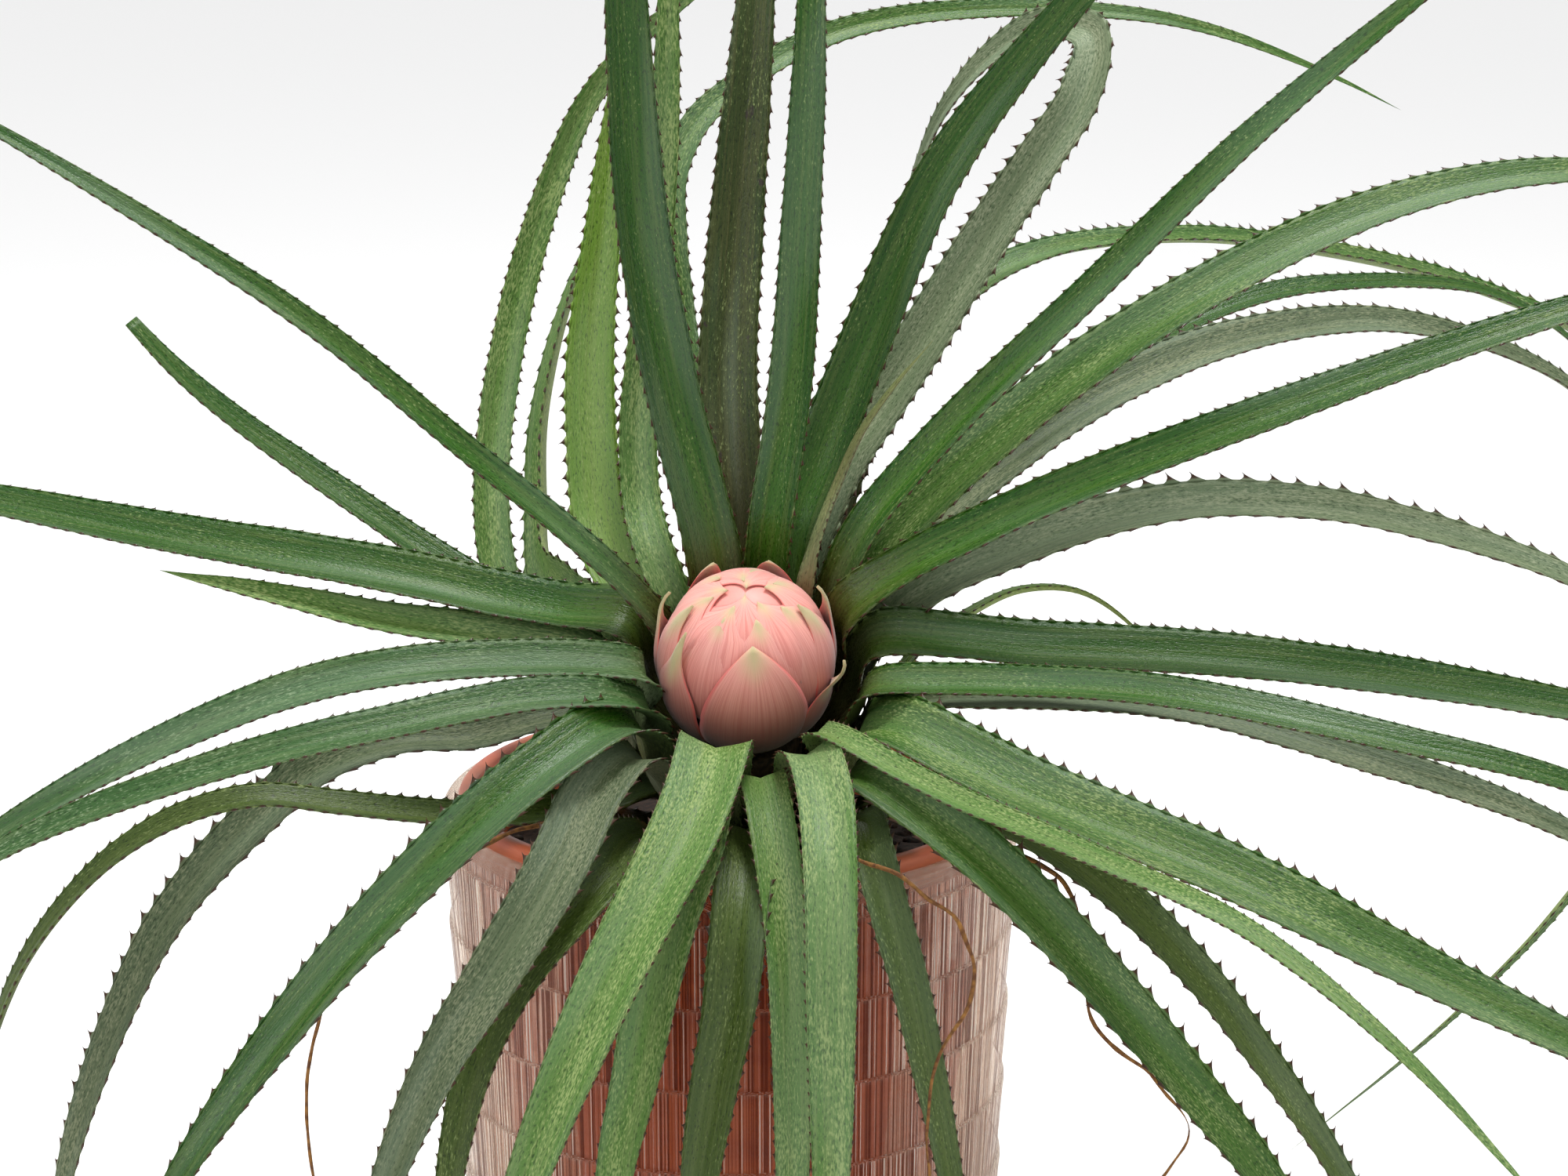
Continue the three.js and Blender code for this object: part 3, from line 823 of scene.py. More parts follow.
@dataclass
class Leaf:
    """A channelled blade with hooked teeth along both margins.

    The blade keeps its CAD node's line and width. Only its foot is broader and sinks into the crown, because
    a real leaf's sheath clasps the stem and its neighbours, and the leaf arches out of it.
    """

    number: int
    tooth_height: float  # mm, over the lower half of the leaf
    tooth_pitch: float  # mm
    faces_across: int = 10
    step: float = 2.0 * MM
    thickness: float = 1.3 * MM
    sheath_share: float = 0.20
    dip: float = 8.0 * MM  # how far the foot sinks into the crown
    slender: float = 2.5 * MM  # half width below which the blade and its teeth grow thinner
    channel_foot: float = 0.10  # rise of the margins as a share of the half width, at the foot
    channel_low: float = 0.56  # the same where the leaf has left the crown
    channel_tip: float = 0.36  # the same at the tip

    @property
    def name(self) -> str:
        """The CAD node's name."""
        return f"leaf_{self.number:02d}"

    @property
    def seed(self) -> float:
        """Where this leaf's patterns lie in the noise."""
        return self.number * 3.7

    def section(self, route: LeafRoute, share: float) -> Station:
        """The visual section: the CAD section, with the foot widened into a sheath."""
        station = route.at(share)
        full = max(s.half for s in route.stations)
        clasp = 1 - smooth(0.0, self.sheath_share, share)
        station.half = max(station.half, full * (1.0 + 0.1 * clasp) * clasp)
        distance = share * route.length
        blade_channel = mix(self.channel_low, self.channel_tip, share)
        channel = mix(self.channel_foot, blade_channel, smooth(34 * MM, 85 * MM, distance))
        station.rise = station.half * channel * (1 - smooth(0.9, 1.0, share))
        station.middle = station.middle - Vector((0, 0, self.dip * (1 - smooth(15 * MM, 70 * MM, distance))))
        wave = noise.noise(Vector((distance / (14 * MM), self.number * 7.3, 0)))
        station.half *= 1 + 0.03 * wave
        return station

    def build(self, nodes: dict, material: bpy.types.Material, tooth: bpy.types.Mesh) -> None:
        """Builds the blade and its teeth in place of the CAD node.

        Args:
            nodes: The frame's CAD nodes.
            material: The leaf's finish.
            tooth: One tooth, a unit high and a unit long at its root.
        """
        route = LeafRoute(nodes[self.name])
        along = max(24, round(route.length / self.step))
        mesh = grid_shell(self.faces_across, along)
        place = mesh.verts.layers.float_vector["place"]
        blade = mesh.verts.layers.float_vector["blade"]
        rows = [self.section(route, row / along) for row in range(along + 1)]
        for vertex in mesh.verts:
            across, share, under = vertex[place]
            row = rows[round(share * along)]
            reach = abs(across)
            lift = row.rise * reach**1.45
            half_thick = self.thickness / 2 * (1 - 0.72 * reach**2.2)
            slim = min(1.0, row.half / self.slender)
            groove = -0.22 * MM * math.exp(-((across / 0.07) ** 2)) if not under else 0.0
            keel = -0.35 * MM * math.exp(-((across / 0.16) ** 2)) if under else 0.0
            height = lift + (half_thick * (-1 if under else 1) + groove + keel) * slim
            vertex.co = row.middle + row.side * (across * row.half) + row.up * height
            vertex[blade] = Vector((across * row.half / MM, share * route.length / MM, self.seed))
        bmesh.ops.remove_doubles(mesh, verts=mesh.verts[:], dist=0.01 * MM)
        bmesh.ops.recalc_face_normals(mesh, faces=mesh.faces[:])
        self.add_teeth(mesh, route, tooth)
        finish_piece(mesh, self.name + "_blade", material, [self.name])

    def add_teeth(self, mesh: bmesh.types.BMesh, route: LeafRoute, tooth: bpy.types.Mesh) -> None:
        """Sets teeth along both margins: fine hairs at the foot, then hooks that shrink towards the tip.

        Args:
            mesh: The blade, to which the teeth are added.
            route: The leaf's line.
            tooth: The tooth to copy.
        """
        draw = random.Random(self.number)
        teeth = new_skin()
        place = teeth.verts.layers.float_vector["place"]
        blade = teeth.verts.layers.float_vector["blade"]
        spine = teeth.verts.layers.float["spine"]
        total = route.length / MM
        for hand in (-1, 1):
            distance = 12.0
            while distance < total - 5:
                share = distance / total
                hairy = 1 - smooth(0.07, 0.16, share)
                pitch = mix(self.tooth_pitch * (1 - 0.25 * share), 1.5, hairy) * draw.uniform(0.85, 1.15)
                height = self.tooth_height * mix(1.0, 0.45, smooth(0.45, 1.0, share))
                height = mix(height, 0.8, hairy) * draw.uniform(0.8, 1.2)
                here = self.section(route, share)
                ahead = self.section(route, min(1.0, share + 0.004))
                behind = self.section(route, max(0.0, share - 0.004))
                slim = min(1.0, here.half / self.slender)
                forward = (ahead.middle - behind.middle).normalized()
                outward = (here.side * (hand * here.half) + here.up * (1.45 * here.rise)).normalized()
                outward = (outward - forward * outward.dot(forward)).normalized()
                flat = forward.cross(outward).normalized()
                root = here.middle + here.side * (hand * here.half) + here.up * here.rise
                length = pitch * mix(1.0, 0.35, hairy) * MM
                stand = Matrix((forward * length, flat * (0.75 * MM * slim), outward * (height * slim * MM)))
                matrix = Matrix.Translation(root - outward * (0.15 * MM)) @ stand.transposed().to_4x4()
                known = len(teeth.verts)
                teeth.from_mesh(tooth)
                teeth.verts.ensure_lookup_table()
                for vertex in teeth.verts[known:]:
                    raised = vertex.co.z
                    vertex.co = matrix @ vertex.co
                    vertex[spine] = raised * (1 - hairy)
                    vertex[place] = Vector((0.9 * hand, share, 0))
                    vertex[blade] = Vector((hand * here.half / MM, distance, self.seed))
                distance += pitch
        append_mesh(mesh, teeth)


def tooth_shape() -> bpy.types.Mesh:
    """One hooked tooth: a web as long as the pitch at its root, drawn up in hollow flanks to a point.

    Returns:
        A mesh from 0 to 1 in height, whose point leans back towards the leaf's foot.
    """
    hook = bmesh.new()
    bmesh.ops.create_cone(
        hook, cap_ends=True, cap_tris=False, segments=6, radius1=0.5, radius2=0.02, depth=1.0
    )
    upright = [e for e in hook.edges if abs(e.verts[0].co.z - e.verts[1].co.z) > 0.5]
    bmesh.ops.subdivide_edges(hook, edges=upright, cuts=3)
    for vertex in hook.verts:
        height = vertex.co.z + 0.5
        radius = mix(0.5, 0.02, height)
        flank = 0.5 * (1 - height) ** 2.3 + 0.012
        body = 0.5 * (1 - height) ** 0.8 + 0.03
        vertex.co.x = vertex.co.x / radius * flank - 0.24 * height**1.6
        vertex.co.y = vertex.co.y / radius * body
        vertex.co.z = height
    bmesh.ops.recalc_face_normals(hook, faces=hook.faces[:])
    mesh = bpy.data.meshes.new("tooth")
    hook.to_mesh(mesh)
    hook.free()
    return mesh


@dataclass
class WitheredLeaf:
    """A dead leaf, shrivelled to a rolled brown thread with a kinked, uneven body."""

    number: int
    radius: float = 0.75 * MM
    kink: float = 0.9 * MM
    sides: int = 8

    @property
    def name(self) -> str:
        """The CAD node's name."""
        return f"withered_leaf_{self.number}"

    def build(self, nodes: dict, material: bpy.types.Material) -> None:
        """Sweeps an uneven round section along the CAD node's line.

        Args:
            nodes: The frame's CAD nodes.
            material: The dead leaf's finish.
        """
        route = LeafRoute(nodes[self.name])
        steps = round(route.length / (1.6 * MM))
        mesh = bmesh.new()
        bmesh.ops.create_cone(
            mesh, cap_ends=True, segments=self.sides, radius1=1.0, radius2=1.0, depth=1.0
        )
        upright = [e for e in mesh.edges if abs(e.verts[0].co.z - e.verts[1].co.z) > 0.5]
        bmesh.ops.subdivide_edges(mesh, edges=upright, cuts=steps - 1)
        for vertex in mesh.verts:
            share = vertex.co.z + 0.5
            here = route.at(share)
            seed = Vector((share * route.length / (7 * MM), self.number * 5.1, 0))
            thick = self.radius * (1.15 - 0.75 * share) * (1 + 0.45 * noise.noise(seed))
            bends = (noise.noise(seed * 0.9 + Vector((0, 37.0 * axis, 0))) for axis in range(3))
            kink = Vector(tuple(bends)) * (self.kink * smooth(0, 0.1, share))
            flat = 1 + 0.5 * noise.noise(seed * 2)
            offset = here.side * (vertex.co.x * thick * flat) + here.up * (vertex.co.y * thick)
            vertex.co = here.middle + kink + offset
        bmesh.ops.recalc_face_normals(mesh, faces=mesh.faces[:])
        finish_piece(mesh, self.name + "_thread", material, [self.name])


@dataclass
class OldLeafBases:
    """Short stumps of old leaves round the stem, which fill the hollow under the rosette."""

    count: int = 11
    reach: float = 36.0 * MM
    half_width: float = 8.0 * MM
    thickness: float = 1.2 * MM
    start_height: float = 10.0 * MM  # above the stem's foot
    start_reach: float = 6.0 * MM  # from the stem's middle
    arch: float = 9.0 * MM
    most_drop: float = 7.0 * MM

    def build(self, material: bpy.types.Material) -> None:
        """Builds the stumps as one piece, each a short channelled blade with a ragged end.

        Args:
            material: The old leaves' finish.
        """
        low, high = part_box("stem")
        middle = (low + high) / 2
        middle.z = low.z + self.start_height
        mesh = new_skin()
        draw = random.Random(5)
        for index in range(self.count):
            angle = (index + draw.uniform(-0.3, 0.3)) * math.tau / self.count
            out = Vector((math.cos(angle), math.sin(angle), 0))
            side = Vector((-out.y, out.x, 0))
            reach = self.reach * draw.uniform(0.65, 1.1)
            drop = draw.uniform(0.0, self.most_drop)
            stump = grid_shell(8, 16)
            place = stump.verts.layers.float_vector["place"]
            blade = stump.verts.layers.float_vector["blade"]
            for vertex in stump.verts:
                across, along, under = vertex[place]
                ragged = 0.06 * noise.noise(Vector((across * 3, index, 0))) * smooth(0.7, 1.0, along)
                arch = math.sin(math.pi * 0.62 * along) * self.arch - drop * along
                half = self.half_width * mix(1.05, 0.7, along**2)
                channel = half * 0.5 * abs(across) ** 1.5
                thick = self.thickness * (0.5 - under) * (1 - 0.6 * across**2)
                distance = self.start_reach + reach * (along + ragged)
                vertex.co = middle + out * distance + side * across * half
                vertex.co.z += arch + channel + thick
                vertex[place] = Vector((across, 0.22 + 0.3 * along, under))
                vertex[blade] = Vector((across * half / MM, along * reach / MM, 200 + index * 3.7))
            bmesh.ops.recalc_face_normals(stump, faces=stump.faces[:])
            append_mesh(mesh, stump)
        finish_piece(mesh, "old_leaf_bases", material, [])


@dataclass
class Rosette:
    """All the leaves, with the growth and the teeth of each."""

    tooth_growth: float = 1.35  # how much higher the teeth stand than the table says
    # Growth, tooth height in mm and tooth pitch in mm, from the innermost leaf to the outermost.
    leaves: tuple = (
        (Growth.DARK, 0.7, 4.4),
        (Growth.DARK, 0.8, 4.2),
        (Growth.DARK, 0.6, 3.6),
        (Growth.PALE, 0.7, 3.2),
        (Growth.BLOOM, 0.6, 3.4),
        (Growth.DARK, 0.6, 4.0),
        (Growth.PALE, 0.7, 3.4),
        (Growth.DARK, 0.6, 4.0),
        (Growth.DARK, 0.7, 3.8),
        (Growth.DARK, 1.0, 4.2),
        (Growth.BLOOM, 0.7, 3.6),
        (Growth.PALE, 0.7, 3.4),
        (Growth.DARK, 0.7, 4.0),
        (Growth.TAN, 0.3, 3.2),
        (Growth.DARK, 1.5, 5.4),
        (Growth.SCALY, 1.3, 5.2),
        (Growth.PALE, 0.9, 3.8),
        (Growth.BROWNED, 0.9, 4.2),
        (Growth.SCALY, 1.5, 5.2),
        (Growth.GREY, 1.3, 4.8),
        (Growth.PALE, 1.1, 4.4),
        (Growth.GREY_LIT, 2.0, 6.4),
        (Growth.DARK, 0.9, 4.6),
        (Growth.PALE, 0.9, 4.0),
        (Growth.PALE, 1.1, 4.2),
        (Growth.GREY, 1.2, 3.8),
        (Growth.SCALY, 1.9, 6.0),
        (Growth.GREY, 1.5, 4.6),
        (Growth.GREY, 1.9, 5.6),
        (Growth.GREY_LIT, 1.6, 4.6),
        (Growth.LIME_BACKLIT, 1.7, 4.4),
        (Growth.OLIVE, 1.1, 4.0),
        (Growth.OLIVE, 1.9, 5.4),
        (Growth.DARK, 0.8, 3.8),
        (Growth.DARK, 1.1, 4.0),
        (Growth.OLIVE, 1.2, 3.8),
        (Growth.PALE, 1.7, 4.4),
        (Growth.SCALY, 1.4, 4.4),
        (Growth.SCALY, 0.8, 4.4),
        (Growth.OLIVE, 1.2, 4.0),
        (Growth.OLIVE, 1.0, 3.8),
        (Growth.PALE, 1.0, 3.8),
        (Growth.LIME_BACKLIT, 0.7, 3.0),
    )

    def build(self, nodes: dict) -> None:
        """Builds every leaf and dead leaf.

        Args:
            nodes: The frame's CAD nodes.
        """
        finishes = {growth: growth.value.material() for growth in Growth}
        tooth = tooth_shape()
        for number, (growth, height, pitch) in enumerate(self.leaves, 1):
            Leaf(number, self.tooth_growth * height, pitch).build(nodes, finishes[growth], tooth)
        bpy.data.meshes.remove(tooth)
        OldLeafBases().build(finishes[Growth.OLIVE])
        dead = EarthyFinish("dry_leaf_fibre", "#5a3417", "#96682f", 1.6, relief_mm=0.3).material()
        for number in (1, 2, 3):
            WitheredLeaf(number).build(nodes, dead)


# ------------------------------------------------------------------------------------------------ flower


@dataclass
class BudFrame:
    """The bud's middle, axis and size, read from the heart's CAD node."""

    node: bpy.types.Object
    middle: Vector = field(default_factory=Vector)
    radius: float = 0.0
    half_length: float = 0.0
    turn: Matrix = field(default_factory=Matrix)
    raised: float = 1.5 * MM  # so that the heart's scales meet over the CAD heart's apex

    def __post_init__(self) -> None:
        """Finds the axis from the apex and the middle of the corners, and the size from their distances."""
        corners = {tuple(round(c, 7) for c in v.co) for v in self.node.data.vertices}
        points = [Vector(corner) for corner in corners]
        low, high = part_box("stem")
        stem_middle = (low + high) / 2
        apex = max(points, key=lambda p: (p - stem_middle).length)
        axis = (apex - sum(points, Vector()) / len(points)).normalized()
        depths = [(apex - p).dot(axis) for p in points]
        reaches = [((p - apex) + axis * depth).length for p, depth in zip(points, depths)]
        self.radius = max(reaches)
        seat_reach = max(reach for reach, depth in zip(reaches, depths) if depth > 0.98 * max(depths))
        self.half_length = max(depths) / (1 + math.sqrt(1 - (seat_reach / self.radius) ** 2))
        self.middle = apex - axis * (self.half_length - self.raised)
        self.turn = Vector((0, 0, 1)).rotation_difference(axis).to_matrix()

    def point(self, bearing: float, from_apex: float, out: float) -> Vector:
        """A point near the bud's skin.

        Args:
            bearing: Round the axis, in radians.
            from_apex: Angle from the apex, in radians.
            out: Distance out from the skin, in metres.

        Returns:
            The point, in the frame.
        """
        radius = (self.radius + out) * math.sin(from_apex)
        height = (self.half_length + out) * math.cos(from_apex)
        local = Vector((radius * math.cos(bearing), radius * math.sin(bearing), height))
        return self.middle + self.turn @ local

    def angles(self, point: Vector) -> tuple[float, float]:
        """A point's bearing round the axis and its angle from the apex, in radians."""
        local = self.turn.transposed() @ (point - self.middle)
        return math.atan2(local.y, local.x), math.atan2(math.hypot(local.x, local.y), local.z)


@dataclass
class Bract:
    """One scale of the bud: a pointed shell that lies on the bud and lifts at its point."""

    bearing: float
    spread: float
    tip: float
    foot: float
    lift: float  # metres between the bud's skin and the bract's inner face
    flare: float = 1.0 * MM  # how far the point stands off
    horn: float = 0.0  # 0 for a short point, 1 for a long drawn-out one
    seed: int = 0
    faces_across: int = 16
    faces_along: int = 22
    thickness: float = 0.9 * MM

    def add_to(self, mesh: bmesh.types.BMesh, bud: BudFrame) -> None:
        """Adds the bract's shell to a mesh.

        Args:
            mesh: The bud's or the bract's own mesh.
            bud: The bud that it lies on.
        """
        shell = grid_shell(self.faces_across, self.faces_along)
        place = shell.verts.layers.float_vector["place"]
        blade = shell.verts.layers.float_vector["blade"]
        felt = shell.verts.layers.float["spine"]
        for vertex in shell.verts:
            across, along, under = vertex[place]
            vertex.co = self.surface(bud, across, along, under)
            vertex[felt] = self.horn
            width = across * self.spread * bud.radius / MM
            length = mix(self.foot, self.tip, along) * bud.radius / MM
            vertex[blade] = Vector((width, length, self.seed * 2.9))
        bmesh.ops.remove_doubles(shell, verts=shell.verts[:], dist=0.01 * MM)
        bmesh.ops.recalc_face_normals(shell, faces=shell.faces[:])
        append_mesh(mesh, shell)

    def surface(self, bud: BudFrame, across: float, along: float, under: float) -> Vector:
        """The place of a point of the bract, from its share across and along."""
        from_apex = mix(self.foot, self.tip, along)
        belly = math.sin(math.pi * min(1.0, 0.2 + along * 0.95)) ** 0.35 if along < 0.42 else 1.0
        taper = max(0.0, 1 - max(0.0, (along - 0.3) / 0.7) ** 2.1) ** 0.85
        drawn = mix(taper, taper * (0.24 + 0.76 * (1 - smooth(0.5, 0.85, along))), self.horn)
        half = self.spread * belly * max(drawn, 0.012)
        squeeze = math.sin(max(from_apex, 0.25))
        bearing = self.bearing + half * across * min(1.6, 1 / squeeze) * mix(1.0, squeeze, 0.45)
        thick = self.thickness * (1 - 0.75 * across**2) * mix(1.0, 0.8, along)
        crown = 0.55 * MM * (1 - across**2) * math.sin(math.pi * min(1.0, along * 1.1)) ** 0.6
        stand = self.flare * smooth(0.55, 1.0, along) ** 1.5
        out = self.lift * smooth(-0.15, 0.12, along) + crown + stand + (0.0 if under else thick)
        return bud.point(bearing, from_apex, out)


@dataclass
class FlowerBud:
    """The bud: a heart wrapped in rings of inner bracts that meet over its top, and outer bracts on it."""

    # Drawn-out points of the outer bracts, by node: how far each stands off in mm, and how drawn out it is.
    points: dict = field(
        default_factory=lambda: {
            "bract_front": (0.8, 0.0),
            "bract_right_front": (7.5, 1.0),
            "bract_left_front": (2.2, 0.8),
            "bract_left": (3.4, 1.0),
            "bract_right": (3.0, 0.7),
            "bract_back_left": (1.4, 0.3),
            "bract_back_right": (1.2, 0.1),
            "bract_inner_right": (1.0, 0.5),
            "bract_inner_left": (1.2, 0.6),
        }
    )
    ring_tips: tuple = (24, 12, 1)  # degrees from the apex, of the rings of inner bracts
    ring_counts: tuple = (7, 5, 2)
    ring_starts: tuple = (-72, -48, -95)  # bearing of each ring's first bract, in degrees
    overlap: float = 1.08  # how much wider an outer bract is than its node
    front_overlap: float = 1.25
    inner_lift: float = 0.35 * MM
    outer_lift: float = 1.3 * MM

    def build(self, nodes: dict) -> None:
        """Builds the heart and every outer bract.

        Args:
            nodes: The frame's CAD nodes.
        """
        bud = BudFrame(nodes["bud_heart"])
        finish = BractFinish().material()
        self.build_heart(bud, finish)
        for seed, (name, (flare, horn)) in enumerate(self.points.items()):
            bract = self.read(bud, nodes[name], flare * MM, horn, seed + 20)
            mesh = bmesh.new()
            bract.add_to(mesh, bud)
            finish_piece(mesh, name + "_scale", finish, [name])

    def build_heart(self, bud: BudFrame, finish: bpy.types.Material) -> None:
        """The closed core with its rings of inner bracts, which meet over the apex."""
        mesh = new_skin()
        place = mesh.verts.layers.float_vector["place"]
        blade = mesh.verts.layers.float_vector["blade"]
        bmesh.ops.create_uvsphere(mesh, u_segments=48, v_segments=32, radius=1.0)
        for vertex in mesh.verts:
            bearing = math.atan2(vertex.co.y, vertex.co.x)
            from_apex = math.acos(max(-1.0, min(1.0, vertex.co.z)))
            vertex[place] = Vector((0, 0.3, 0))
            vertex[blade] = Vector((bearing * 20, from_apex * 20, 1))
            vertex.co = bud.point(bearing, min(from_apex, 2.6), -0.9 * MM)
        for ring, (tip, count, start) in enumerate(zip(self.ring_tips, self.ring_counts, self.ring_starts)):
            for index in range(count):
                bearing = math.radians(start + index * 360 / count)
                Bract(
                    bearing=bearing,
                    spread=math.radians(min(62, 0.66 * 360 / count)),
                    tip=math.radians(tip + 2.5 * math.sin(index * 2.1)),
                    foot=math.radians(100 - 25 * ring),
                    lift=(-0.30 - 0.22 * ring + 0.05 * (index % 3)) * MM,
                    flare=0.35 * MM,
                    seed=ring * 10 + index,
                    thickness=0.6 * MM,
                ).add_to(mesh, bud)
        finish_piece(mesh, "bud_heart_scales", finish, ["bud_heart"])

    def read(self, bud: BudFrame, node: bpy.types.Object, flare: float, horn: float, seed: int) -> Bract:
        """Reads a bract's angles round the bud from its CAD node.

        Args:
            bud: The bud's frame.
            node: The bract's CAD node.
            flare: How far the point stands off, in metres.
            horn: How drawn out the point is, from 0 to 1.
            seed: Number that varies the veins.

        Returns:
            The bract.
        """
        spots = [bud.angles(v.co) for v in node.data.vertices]
        tip = min(spots, key=lambda spot: spot[1])
        foot = max(spot[1] for spot in spots)
        turns = [math.remainder(spot[0] - tip[0], math.tau) for spot in spots if spot[1] > tip[1] + 0.2]
        wider = self.front_overlap if node.name == "bract_front" else self.overlap
        return Bract(
            bearing=tip[0] + (max(turns) + min(turns)) / 2,
            spread=(max(turns) - min(turns)) / 2 * wider,
            tip=tip[1],
            foot=foot,
            lift=self.inner_lift if "inner" in node.name else self.outer_lift,
            flare=flare,
            horn=horn,
            seed=seed,
        )


# -------------------------------------------------------------------------------------- pots, soil and stem


def turned(outline: list[tuple[float, float]], steps: int) -> bmesh.types.BMesh:
    """Spins an outline round the Z axis into a closed body.

    Args:
        outline: Radius and height of each corner in metres, from the axis back to the axis.
        steps: Number of faces round.

    Returns:
        The body, with its faces outwards.
    """
    mesh = bmesh.new()
    corners = [mesh.verts.new((radius, 0, height)) for radius, height in outline]
    edges = [mesh.edges.new(pair) for pair in zip(corners, corners[1:])]
    bmesh.ops.spin(
        mesh,
        geom=corners + edges,
        axis=(0, 0, 1),
        cent=(0, 0, 0),
        dvec=(0, 0, 0),
        angle=math.tau,
        steps=steps,
        use_merge=True,
        use_duplicate=False,
    )
    bmesh.ops.remove_doubles(mesh, verts=mesh.verts[:], dist=0.002 * MM)
    bmesh.ops.recalc_face_normals(mesh, faces=mesh.faces[:])
    return mesh


@dataclass
class CoverPot:
    """The pressed glass pot: bands of fine upright ribs, each band stepped back from the one above it."""

    wall: float = 3.0 * MM
    floor: float = 7.0 * MM
    band: float = 21.0 * MM
    top_band: float = 8.0 * MM
    step_depth: float = 0.8 * MM
    foot_radius: float = 66.0 * MM
    rib_depth: float = 0.22 * MM
    rib_pitch_mm: float = 1.3
    faces_round: int = 1080

    def build(self) -> None:
        """Turns the pot and presses the ribs into its outside."""
        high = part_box("glass_cover_pot")[1]
        rim, height = high.x, high.z
        steps = [height - self.top_band - k * self.band for k in range(6)]

        def outer(z: float) -> float:
            """The outside radius at a height."""
            return mix(self.foot_radius, rim, z / height)

        outline = [(0.0, 0.0), (outer(0) - 2 * MM, 0.0), (outer(0), 1.5 * MM)]
        for z in reversed(steps):
            outline += [(outer(z), z - 1.4 * MM), (outer(z), z - 0.4 * MM)]
            outline += [(outer(z) - self.step_depth, z + rise * MM) for rise in (0.2, 1.2)]
            for share in (0.15, 0.4, 0.7):
                higher = z + share * self.band
                if higher < height - 2 * MM:
                    outline += [(outer(higher) - self.step_depth * (1 - share), higher)]
        outline += [(rim, height - 1 * MM), (rim - 0.4 * MM, height - 0.3 * MM), (rim - 1 * MM, height)]
        outline += [(rim - self.wall + 0.6 * MM, height), (rim - self.wall, height - 0.6 * MM)]
        inner_foot = outer(self.floor) - self.wall
        for share in (0.8, 0.6, 0.4, 0.2, 0.0):
            outline += [(mix(inner_foot, rim - self.wall, share), mix(self.floor + 6 * MM, height, share))]
        outline += [(inner_foot - 2 * MM, self.floor + 1.6 * MM), (inner_foot - 6 * MM, self.floor)]
        outline += [(0.0, self.floor)]
        mesh = turned(outline, self.faces_round)
        self.press_ribs(mesh, steps, outer, height)
        finish_piece(mesh, "cover_pot_glass", GlassFinish().material(), ["glass_cover_pot"])

    def press_ribs(
        self, mesh: bmesh.types.BMesh, steps: list[float], outer: Callable[[float], float], height: float
    ) -> None:
        """Presses the ribs into the outside, and marks its wall and ledges for the glass finish.

        Args:
            mesh: The plain pot.
            steps: Height of each step between two bands.
            outer: Gives the outside radius at a height.
            height: The pot's height.
        """
        wall = mesh.verts.layers.float_vector.new("wall")
        ledge = mesh.verts.layers.float.new("ledge")
        for vertex in mesh.verts:
            radius = math.hypot(vertex.co.x, vertex.co.y)
            z = vertex.co.z
            if radius <= outer(z) - self.wall * 0.5 or not 2 * MM < z < height - 1.5 * MM:
                continue
            seed = 7.7 * math.floor((height - self.top_band - z + self.band) / self.band)
            around = math.atan2(vertex.co.x, -vertex.co.y) * radius / MM
            vertex[wall] = Vector((around, seed, 0))
            ribs = noise.noise(Vector((around / self.rib_pitch_mm, seed, 0)))
            above = min((z - step for step in steps), key=abs)
            # ledge marks: 1 for a painted highlight just below each step, -1 for painted shade just above it
            vertex[ledge] = 1.0 if -0.6 * MM < above < -0.2 * MM else -1.0 if 0 < above < 0.6 * MM else 0.0
            depth = self.rib_depth * ribs * smooth(0, 1.2 * MM, abs(above))
            scale = (radius + depth) / radius
            vertex.co.x *= scale
            vertex.co.y *= scale


@dataclass
class NurseryPot:
    """The grower's thin plastic pot, with a deep rolled lip that stands just above the glass."""

    wall: float = 1.6 * MM
    lip_height: float = 16.0 * MM
    lip_width: float = 2.2 * MM
    foot_radius: float = 50.0 * MM
    faces_round: int = 192

    def build(self) -> None:
        """Turns the pot from its box."""
        low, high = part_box("nursery_pot")
        lip, top, base = high.x, high.z, low.z
        under = top - self.lip_height
        neck = lip - self.lip_width

        def side(z: float) -> float:
            """The outside radius below the lip, at a height."""
            return mix(self.foot_radius, neck, (z - base) / (top - base))

        outline = [(0.0, base), (self.foot_radius - 1.5 * MM, base), (self.foot_radius, base + 1.5 * MM)]
        outline += [(side(mix(base, under, share)), mix(base, under, share)) for share in (0.3, 0.6, 1.0)]
        outline += [(lip - 0.5 * MM, under), (lip, under + 0.5 * MM), (lip, top - 1.4 * MM)]
        outline += [(lip - 0.4 * MM, top - 0.4 * MM), (lip - 1.2 * MM, top)]
        outline += [(neck - self.wall + 0.8 * MM, top), (neck - self.wall, top - 0.8 * MM)]
        for share in (0.8, 0.5, 0.2):
            height = mix(base, top, share)
            outline += [(side(height) - self.wall, height)]
        outline += [(self.foot_radius - self.wall, base + 3 * MM), (0.0, base + 2 * MM)]
        mesh = turned(outline, self.faces_round)
        for vertex in mesh.verts:  # thin plastic is never quite round
            wobble = 1 + 0.004 * math.sin(3 * math.atan2(vertex.co.y, vertex.co.x)) * vertex.co.z / top
            vertex.co.x *= min(wobble, 1.0)
            vertex.co.y *= min(wobble, 1.0)
        finish_piece(
            mesh, "nursery_pot_shell", PlasticFinish().material(), ["nursery_pot"]
        )


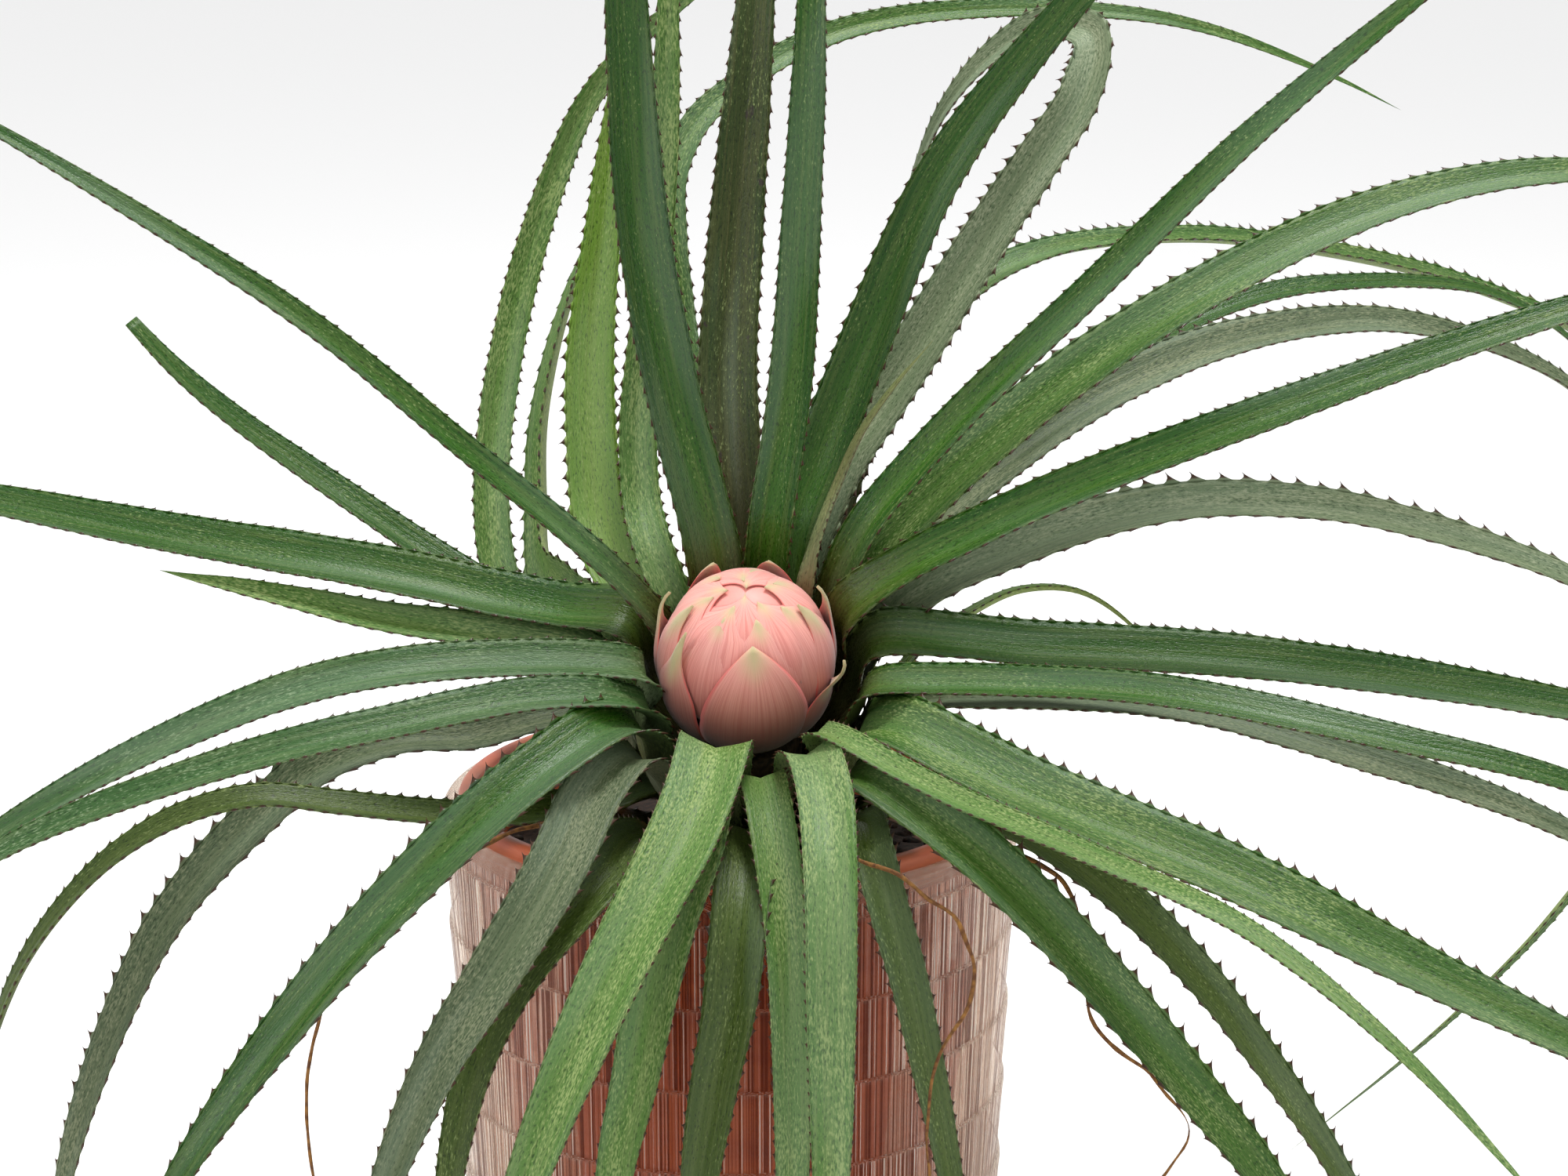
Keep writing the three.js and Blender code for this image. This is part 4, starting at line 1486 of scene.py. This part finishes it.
@dataclass
class PottingSoil:
    """Dark peat with crumbs on top."""

    crumb: float = 1.5 * MM
    crumbs: int = 420
    faces_round: int = 96

    def build(self) -> None:
        """Builds the soil's body and strews crumbs over it."""
        low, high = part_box("potting_soil")
        radius, top, base = high.x, high.z, low.z
        edge = top - 2 * MM
        outline = [(0.0, base), (0.75 * radius, base), (radius, edge)]
        for share in (0.9, 0.75, 0.6, 0.45):
            outline += [(radius * share, mix(top, edge, smooth(0.5, 1.0, share)))]
        outline += [(radius * share, top) for share in (0.3, 0.15, 0.0)]
        mesh = turned(outline, self.faces_round)
        for vertex in mesh.verts:
            if vertex.co.z > edge - MM:
                vertex.co.z += 1.2 * MM * noise.noise(vertex.co * 300) - 0.6 * MM
        draw = random.Random(11)
        for _ in range(self.crumbs):
            reach = radius * 0.96 * math.sqrt(draw.random())
            angle = draw.uniform(0, math.tau)
            size = self.crumb * draw.uniform(0.5, 1.5)
            spot = Vector((reach * math.cos(angle), reach * math.sin(angle), top - size * 0.9))
            squash = Matrix.Diagonal((1.3, 0.9, 0.7, 1)) @ Matrix.Rotation(angle, 4, "X")
            bmesh.ops.create_icosphere(
                mesh, subdivisions=1, radius=size, matrix=Matrix.Translation(spot) @ squash
            )
        peat = EarthyFinish("crumbly_peat", "#120d0a", "#3a2a20", 1.4).material()
        finish_piece(mesh, "potting_soil_peat", peat, ["potting_soil"])


@dataclass
class Stem:
    """The short stem under the rosette, ringed with the scars of old leaves."""

    rings: int = 12
    rough: float = 0.7 * MM

    def build(self, nodes: dict) -> None:
        """Builds the stem between the soil and the bud, inside its CAD node.

        Args:
            nodes: The frame's CAD nodes.
        """
        mesh = bmesh.new()
        mesh.from_mesh(nodes["stem"].data)
        bmesh.ops.remove_doubles(mesh, verts=mesh.verts[:], dist=1e-6)
        upright = [e for e in mesh.edges if e.calc_length() > 12 * MM and len(e.link_faces) == 2]
        bmesh.ops.subdivide_edges(mesh, edges=upright, cuts=self.rings, use_grid_fill=True)
        middle = sum((v.co for v in mesh.verts), Vector()) / len(mesh.verts)
        for vertex in mesh.verts:
            inward = (middle - vertex.co).normalized()
            vertex.co += inward * self.rough * (0.5 + 0.5 * noise.noise(vertex.co * 420))
        bmesh.ops.triangulate(mesh, faces=mesh.faces[:])
        bmesh.ops.recalc_face_normals(mesh, faces=mesh.faces[:])
        bark = EarthyFinish("scarred_stem", "#1d160e", "#4e3c25", 1.2, stretch=(1, 1, 0.4)).material()
        finish_piece(mesh, "stem_scarred", bark, ["stem"])


# ------------------------------------------------------------------------------------------------- studio


@dataclass
class Studio:
    """A pale floor, soft light from above and the camera."""

    camera_place: tuple = (0.0132, -0.9462, 0.4626)
    camera_pitch: float = 15.75  # degrees below level
    lens: float = 92.6  # mm
    sensor_width: float = 36.0  # mm
    floor_size: float = 12.0
    floor_colour: str = "#f4f4f4"
    sky_strength: float = 0.93

    def build(self) -> None:
        """Sets up the floor, the lights, the sky and the camera."""
        self.build_floor()
        self.build_sky()
        self.add_lamp("key", (0.15, 0.2, 1.3), (0.0, -0.02, 0.15), 0.3, 13.0)
        self.add_lamp("left", (-1.1, -0.9, 1.0), (0.0, 0.0, 0.15), 0.35, 5.0)
        camera = bpy.data.cameras.new("camera")
        camera.lens = self.lens
        camera.sensor_width = self.sensor_width
        camera.clip_start = 0.01
        holder = bpy.data.objects.new("camera", camera)
        holder.location = self.camera_place
        holder.rotation_euler = (math.radians(90 - self.camera_pitch), 0, 0)
        bpy.context.scene.collection.objects.link(holder)
        bpy.context.scene.camera = holder
        bpy.context.scene.view_settings.view_transform = "Standard"

    def build_floor(self) -> None:
        """A wide pale floor with a soft sheen."""
        mesh = bmesh.new()
        bmesh.ops.create_grid(mesh, x_segments=1, y_segments=1, size=self.floor_size / 2)
        data = bpy.data.meshes.new("floor")
        mesh.to_mesh(data)
        mesh.free()
        material = new_material("pale_studio_floor")
        tree = material.node_tree
        shader = add_node(
            tree, "ShaderNodeBsdfPrincipled", {}, {"Base Color": linear(self.floor_colour), "Roughness": 0.6}
        )
        add_node(tree, "ShaderNodeOutputMaterial", {}, {"Surface": shader})
        data.materials.append(material)
        floor = bpy.data.objects.new("floor", data)
        bpy.context.scene.collection.objects.link(floor)

    def build_sky(self) -> None:
        """An even white surround."""
        world = bpy.data.worlds.new("surround")
        bpy.context.scene.world = world
        world.use_nodes = True
        world.node_tree.nodes.clear()
        white = {"Color": (1, 1, 1, 1), "Strength": self.sky_strength}
        sky = add_node(world.node_tree, "ShaderNodeBackground", {}, white)
        add_node(world.node_tree, "ShaderNodeOutputWorld", {}, {"Surface": sky})

    def add_lamp(self, name: str, place: tuple, target: tuple, size: float, power: float) -> None:
        """Adds a square soft light.

        Args:
            name: The lamp's name.
            place: Where it hangs.
            target: The point it is aimed at.
            size: Side of the square, in metres.
            power: Power in watts.
        """
        light = bpy.data.lights.new(name, "AREA")
        light.size = size
        light.energy = power
        lamp = bpy.data.objects.new(name, light)
        lamp.location = place
        lamp.rotation_euler = (Vector(target) - Vector(place)).to_track_quat("-Z", "Y").to_euler()
        bpy.context.scene.collection.objects.link(lamp)


def main() -> None:
    """Builds the whole object round the frame."""
    logging.basicConfig(level=logging.INFO)
    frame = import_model()
    nodes = frame["nodes"]
    Studio().build()
    CoverPot().build()
    NurseryPot().build()
    PottingSoil().build()
    Stem().build(nodes)
    FlowerBud().build(nodes)
    Rosette().build(nodes)


if __name__ == "__main__":
    main()
